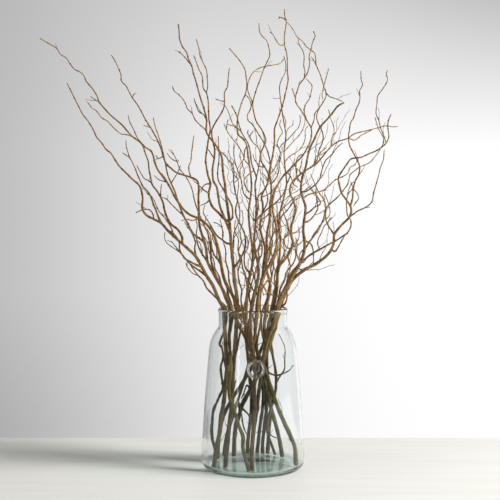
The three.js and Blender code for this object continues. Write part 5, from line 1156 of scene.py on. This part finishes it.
def bark_material():
    """Willow bark: olive on thick wood, reddish brown on twigs, with streaks, pores and dark knots, and
    painted shade in the vase.
    """
    material, nodes = new_material("willow_bark")
    girth, knot, cut, tone = (nodes.mark(name) for name in ("girth", "knot", "cut", "tone"))
    grain = nodes.add("Attribute", attribute_name="grain").outputs["Vector"]
    place = nodes.add("TexCoord").outputs["Object"]
    height = nodes.add("SeparateXYZ", {0: place}).outputs["Z"]

    thick = nodes.ranged(girth, *BARK_GIRTH)
    open_air = nodes.ramp(thick, [
        (0.0, colour(138, 97, 61)),
        (0.2, colour(146, 100, 57)),
        (0.45, colour(152, 106, 57)),
        (0.75, colour(140, 110, 54)),
        (1.0, colour(126, 105, 50)),
    ])
    # A darker copy of the bark's colours: painted shade on the wood inside the vase.
    shaded = nodes.ramp(thick, [
        (0.0, colour(62, 40, 26)),
        (0.35, colour(68, 47, 28)),
        (0.65, colour(68, 58, 30)),
        (1.0, colour(74, 69, 34)),
    ])
    # Painted shade: below the mouth the wood takes the shaded copy, above it the open-air colours.
    lit = nodes.ranged(height, *OUT_OF_VASE)
    base = nodes.mix(lit, shaded, open_air)
    base = nodes.mix(nodes.ranged(tone, 0.0, DARK_TONE[0], 0.0, DARK_TONE[1]), base, colour(74, 40, 26))
    # The pale tone is darker inside the vase, as painted shade.
    pale = nodes.mix(lit, colour(98, 96, 44), colour(162, 130, 64))
    base = nodes.mix(nodes.ranged(tone, 0.0, PALE_TONE[0], 0.0, PALE_TONE[1]), base, pale)

    patches = nodes.noise(nodes.stretched(grain, (0.12, 0.12, 0.02)), 1.0, 4.0)
    streaks = nodes.noise(nodes.stretched(grain, (1.5, 1.5, 0.07)), 1.0, 5.0, 0.65)
    darker = nodes.mix(1.0, base, colour(142, 100, 76), "MULTIPLY")
    base = nodes.mix(nodes.ranged(patches, 0.35, 0.65, 0.0, 0.85), base, darker)
    # Pale streaks along the grain, partly bark and partly painted highlight, dimmer inside the vase as
    # painted shade.
    streak_highlight = nodes.mix(lit, colour(148, 136, 88), colour(222, 180, 114))
    base = nodes.mix(nodes.ranged(streaks, 0.45, 0.68, 0.0, 0.7), base, streak_highlight)
    base = nodes.mix(nodes.ranged(streaks, 0.5, 0.25, 0.0, 0.8), base, colour(38, 22, 14))

    pores = nodes.add("TexVoronoi", {"Vector": nodes.stretched(grain, (0.55, 0.55, 0.22)), "Scale": 1.0})
    pore = nodes.ranged(pores.outputs["Distance"], 0.2, 0.1)
    pore = nodes.math("MULTIPLY", pore, nodes.ranged(girth, 1.2, 2.4))
    base = nodes.mix(nodes.math("MULTIPLY", pore, 0.6), base, colour(182, 160, 118))
    base = nodes.mix(nodes.math("MULTIPLY", knot, 0.42), base, colour(58, 36, 24))

    rings = nodes.noise(nodes.stretched(place, (900, 900, 900)), 1.0, 2.0)
    wood = nodes.mix(rings, colour(196, 170, 122), colour(222, 204, 164))
    base = nodes.mix(cut, base, wood)

    rough = nodes.ranged(streaks, 0.3, 0.75, 0.38, 0.62)
    relief = nodes.math("ADD", nodes.math("MULTIPLY", streaks, 0.7), nodes.math("MULTIPLY", pore, 0.6))
    bump = nodes.add("Bump", {"Height": relief, "Strength": 0.7, "Distance": 0.0005}).outputs["Normal"]
    shader = nodes.add("BsdfPrincipled", {
        "Base Color": base, "Roughness": rough, "Normal": bump, "Specular IOR Level": 0.6,
    })
    nodes.add("OutputMaterial", {"Surface": shader.outputs[0]})
    return material


def glass_material():
    """Clear recycled glass: faintly green through the wall, green through the thick floor and the edges, with
    painted shade at the foot.
    """
    material, nodes = new_material("recycled_glass")
    place = nodes.add("TexCoord").outputs["Object"]
    waves = nodes.noise(nodes.stretched(place, (1, 1, 0.45)), 26.0, 2.0)
    seeds = nodes.add("TexVoronoi", {"Vector": place, "Scale": 95.0}).outputs["Distance"]
    bubbles = nodes.ranged(seeds, 0.09, 0.04)
    relief = nodes.math("ADD", waves, nodes.math("MULTIPLY", bubbles, 0.05))
    bump = nodes.add("Bump", {"Height": relief, "Strength": 0.22, "Distance": 0.002}).outputs["Normal"]
    rough = nodes.ranged(nodes.noise(place, 60.0), 0.4, 0.8, 0.0, 0.012)
    tint = nodes.mix(nodes.noise(place, 9.0), colour(253, 254, 254), colour(254, 255, 254))
    height = nodes.add("SeparateXYZ", {0: place}).outputs["Z"]
    # Green of the thick floor, darkened at the foot as painted shade.
    tint = nodes.mix(nodes.ranged(height, *GLASS_FOOT), tint, colour(160, 188, 177))
    glass = nodes.add("BsdfPrincipled", {
        "Base Color": tint, "Roughness": rough, "Normal": bump, "IOR": 1.42, "Transmission Weight": 1.0,
    })
    clear = nodes.add("BsdfTransparent", {"Color": colour(248, 250, 250)})
    lamps = nodes.add("LightPath").outputs["Is Shadow Ray"]
    surface = nodes.add("MixShader", {0: lamps, 1: glass.outputs[0], 2: clear.outputs[0]})
    depth = nodes.add("VolumeAbsorption", {"Color": colour(150, 206, 192), "Density": 2.6})
    nodes.add("OutputMaterial", {"Surface": surface.outputs[0], "Volume": depth.outputs[0]})
    return material


def table_material():
    """Pale painted boards, plain but for a faint grain."""
    material, nodes = new_material("pale_table")
    place = nodes.add("TexCoord").outputs["Object"]
    grain = nodes.noise(nodes.stretched(place, (1.2, 14, 1)), 2.0, 6.0, 0.6)
    tint = nodes.mix(grain, colour(207, 206, 200), colour(225, 224, 218))
    bump = nodes.add("Bump", {"Height": grain, "Strength": 0.1, "Distance": 0.001}).outputs["Normal"]
    shader = nodes.add("BsdfPrincipled", {"Base Color": tint, "Roughness": 0.55, "Normal": bump})
    nodes.add("OutputMaterial", {"Surface": shader.outputs[0]})
    return material


# ---------- the object ----------

TONE_VARIES = dict(stem=0.75, branch=0.5)  # spread of the bark's tone: above 0 is darker, below is paler


def build_stems():
    starts, chains = lay_out()
    at = spread_apart(starts, chains)
    bark = bark_material()
    for number in range(1, len(STEMS) + 1):
        rng = np.random.default_rng(SEED * 100 + number)
        stem_tone = rng.normal(0, TONE_VARIES["stem"])
        wood = Wood()
        branches = []
        for chain in (c for c in chains if c["stem"] == number):
            tone = stem_tone + rng.normal(0, TONE_VARIES["branch"])
            leader = chain["kind"] == "leader"
            fork = 0.0 if leader else chain["radii"][0]
            line = at[chain["ids"]]
            branches.append((add_branch(wood, line, chain["radii"], chain["kind"], rng, tone, fork), tone))
        for branch, tone in branches:
            add_shoots(wood, branch, rng, tone + SHOOT_TONE)
        piece = wood.make(f"willow_stem_{number:02d}", bark)
        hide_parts(f"stem_{number:02d}")
        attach(piece, "root")


def build_vase():
    piece = vase_piece(glass_material())
    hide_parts("glass_vase")
    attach(piece, "root")


# ---------- table, light and camera ----------

# Greys of the room from left to right: of all of it, then of its top and of its foot against its middle.
ROOM_SIDES = (
    (0.0, 0.5), (0.1, 0.57), (0.2, 0.66), (0.3, 0.75), (0.4, 0.84), (0.6, 0.96), (0.75, 1.01), (1.0, 1.03),
)
ROOM_TOP = ((0.0, 0.92), (0.5, 0.72), (1.0, 0.46))
ROOM_FOOT = ((0.0, 0.8), (0.5, 0.95), (1.0, 1.0))
# Parts of a direction of length 1: to the right for those greys, and up where top and foot fade in.
SIDE_BAND, TOP_BAND, FOOT_BAND = (-0.25, 0.25), (0.05, 0.2), (-0.08, -0.2)
# In metres, as Blender has them.
TABLE = dict(x=(-3.0, 3.0), y=(-3.6, 0.325), depth=0.04, edge=0.004, edge_steps=3)
LAMPS = dict(
    key=dict(at=(3.7, -0.9, 3.1), aim=(0, 0, 0.35), size=(1.1, 1.5), power=380, reflected=False),
    fill=dict(at=(-1.6, -0.5, 2.4), aim=(-0.6, 0.1, 0), size=(1.2, 1.2), power=10, reflected=False),
    strip=dict(at=(-1.25, -1.75, 0.55), aim=(0, 0, 0.35), size=(0.22, 1.0), power=4, reflected=True),
)
ROOM_SHARE = 0.5  # how strongly the room lights the wood and table, against how bright it looks
EDGE_CARDS = dict(start=0.6, end=0.9, tint=(0.26, 0.3, 0.28, 1))  # darker sides, seen only in the glass
BEHIND_CAMERA = (0.05, 0.05, 0.05, 1)  # the dark side of the studio, which the front of the glass reflects
CAMERA = dict(at=(-0.007, -2.549, 0.635), dip=2.35, lens=75.74, sensor=36, sees=50)


def build_table():
    (left, right), (front, back) = TABLE["x"], TABLE["y"]
    outline = ((left, front), (right, front), (right, back), (left, back))
    corners = [(x, y, z) for z in (-TABLE["depth"], 0) for x, y in outline]
    faces = [(0, 3, 2, 1), (4, 5, 6, 7), (0, 1, 5, 4), (1, 2, 6, 5), (2, 3, 7, 6), (3, 0, 4, 7)]
    table = mesh_object("table", corners, faces, table_material(), smooth=False)
    bevel = table.modifiers.new("edge", "BEVEL")
    bevel.width = TABLE["edge"]
    bevel.segments = TABLE["edge_steps"]


def add_softbox(name, at, aim, size, power, reflected):
    light = bpy.data.lights.new(name, "AREA")
    light.shape = "RECTANGLE"
    light.size, light.size_y = size
    light.energy = power
    lamp = add_object(name, light)
    lamp.location = at
    lamp.rotation_euler = (Vector(aim) - Vector(at)).to_track_quat("-Z", "Y").to_euler()
    lamp.visible_camera = False
    lamp.visible_transmission = False
    lamp.visible_glossy = reflected


def build_world():
    """A studio wall that is grey at the left and white at the right, and darker at its top and foot."""
    world = bpy.data.worlds.new("studio")
    bpy.context.scene.world = world
    world.use_nodes = True
    nodes = Nodes(world.node_tree)
    way = nodes.add("TexCoord").outputs["Generated"]
    split = nodes.add("SeparateXYZ", {0: way})
    across, ahead, up = (split.outputs[axis] for axis in "XYZ")
    sideways = nodes.ranged(across, *SIDE_BAND)
    side, top, foot = (nodes.greys(sideways, greys) for greys in (ROOM_SIDES, ROOM_TOP, ROOM_FOOT))
    white = (1, 1, 1, 1)
    above = nodes.mix(nodes.ranged(up, *TOP_BAND), white, top)
    below = nodes.mix(nodes.ranged(up, *FOOT_BAND), white, foot)
    fall = nodes.mix(1.0, nodes.mix(1.0, side, above, "MULTIPLY"), below, "MULTIPLY")
    aside = nodes.ranged(nodes.math("ABSOLUTE", across), EDGE_CARDS["start"], EDGE_CARDS["end"])
    fall = nodes.mix(aside, fall, EDGE_CARDS["tint"])
    fall = nodes.mix(nodes.ranged(ahead, 0.3, -0.3), fall, BEHIND_CAMERA)
    diffuse = nodes.add("LightPath").outputs["Is Diffuse Ray"]
    strength = nodes.ranged(diffuse, 0.0, 1.0, 1.0, ROOM_SHARE)
    glow = nodes.add("Background", {"Color": fall, "Strength": strength})
    nodes.add("OutputWorld", {"Surface": glow.outputs[0]})


def build_camera():
    data = bpy.data.cameras.new("camera")
    data.lens = CAMERA["lens"]
    data.sensor_width = CAMERA["sensor"]
    data.clip_end = CAMERA["sees"]
    camera = add_object("camera", data)
    camera.location = CAMERA["at"]
    camera.rotation_euler = (math.radians(90 - CAMERA["dip"]), 0, 0)
    bpy.context.scene.camera = camera


build_stems()
build_vase()
build_table()
build_world()
build_camera()
for lamp_name, lamp_facts in LAMPS.items():
    add_softbox(lamp_name, **lamp_facts)
bpy.context.scene.view_settings.view_transform = "Standard"
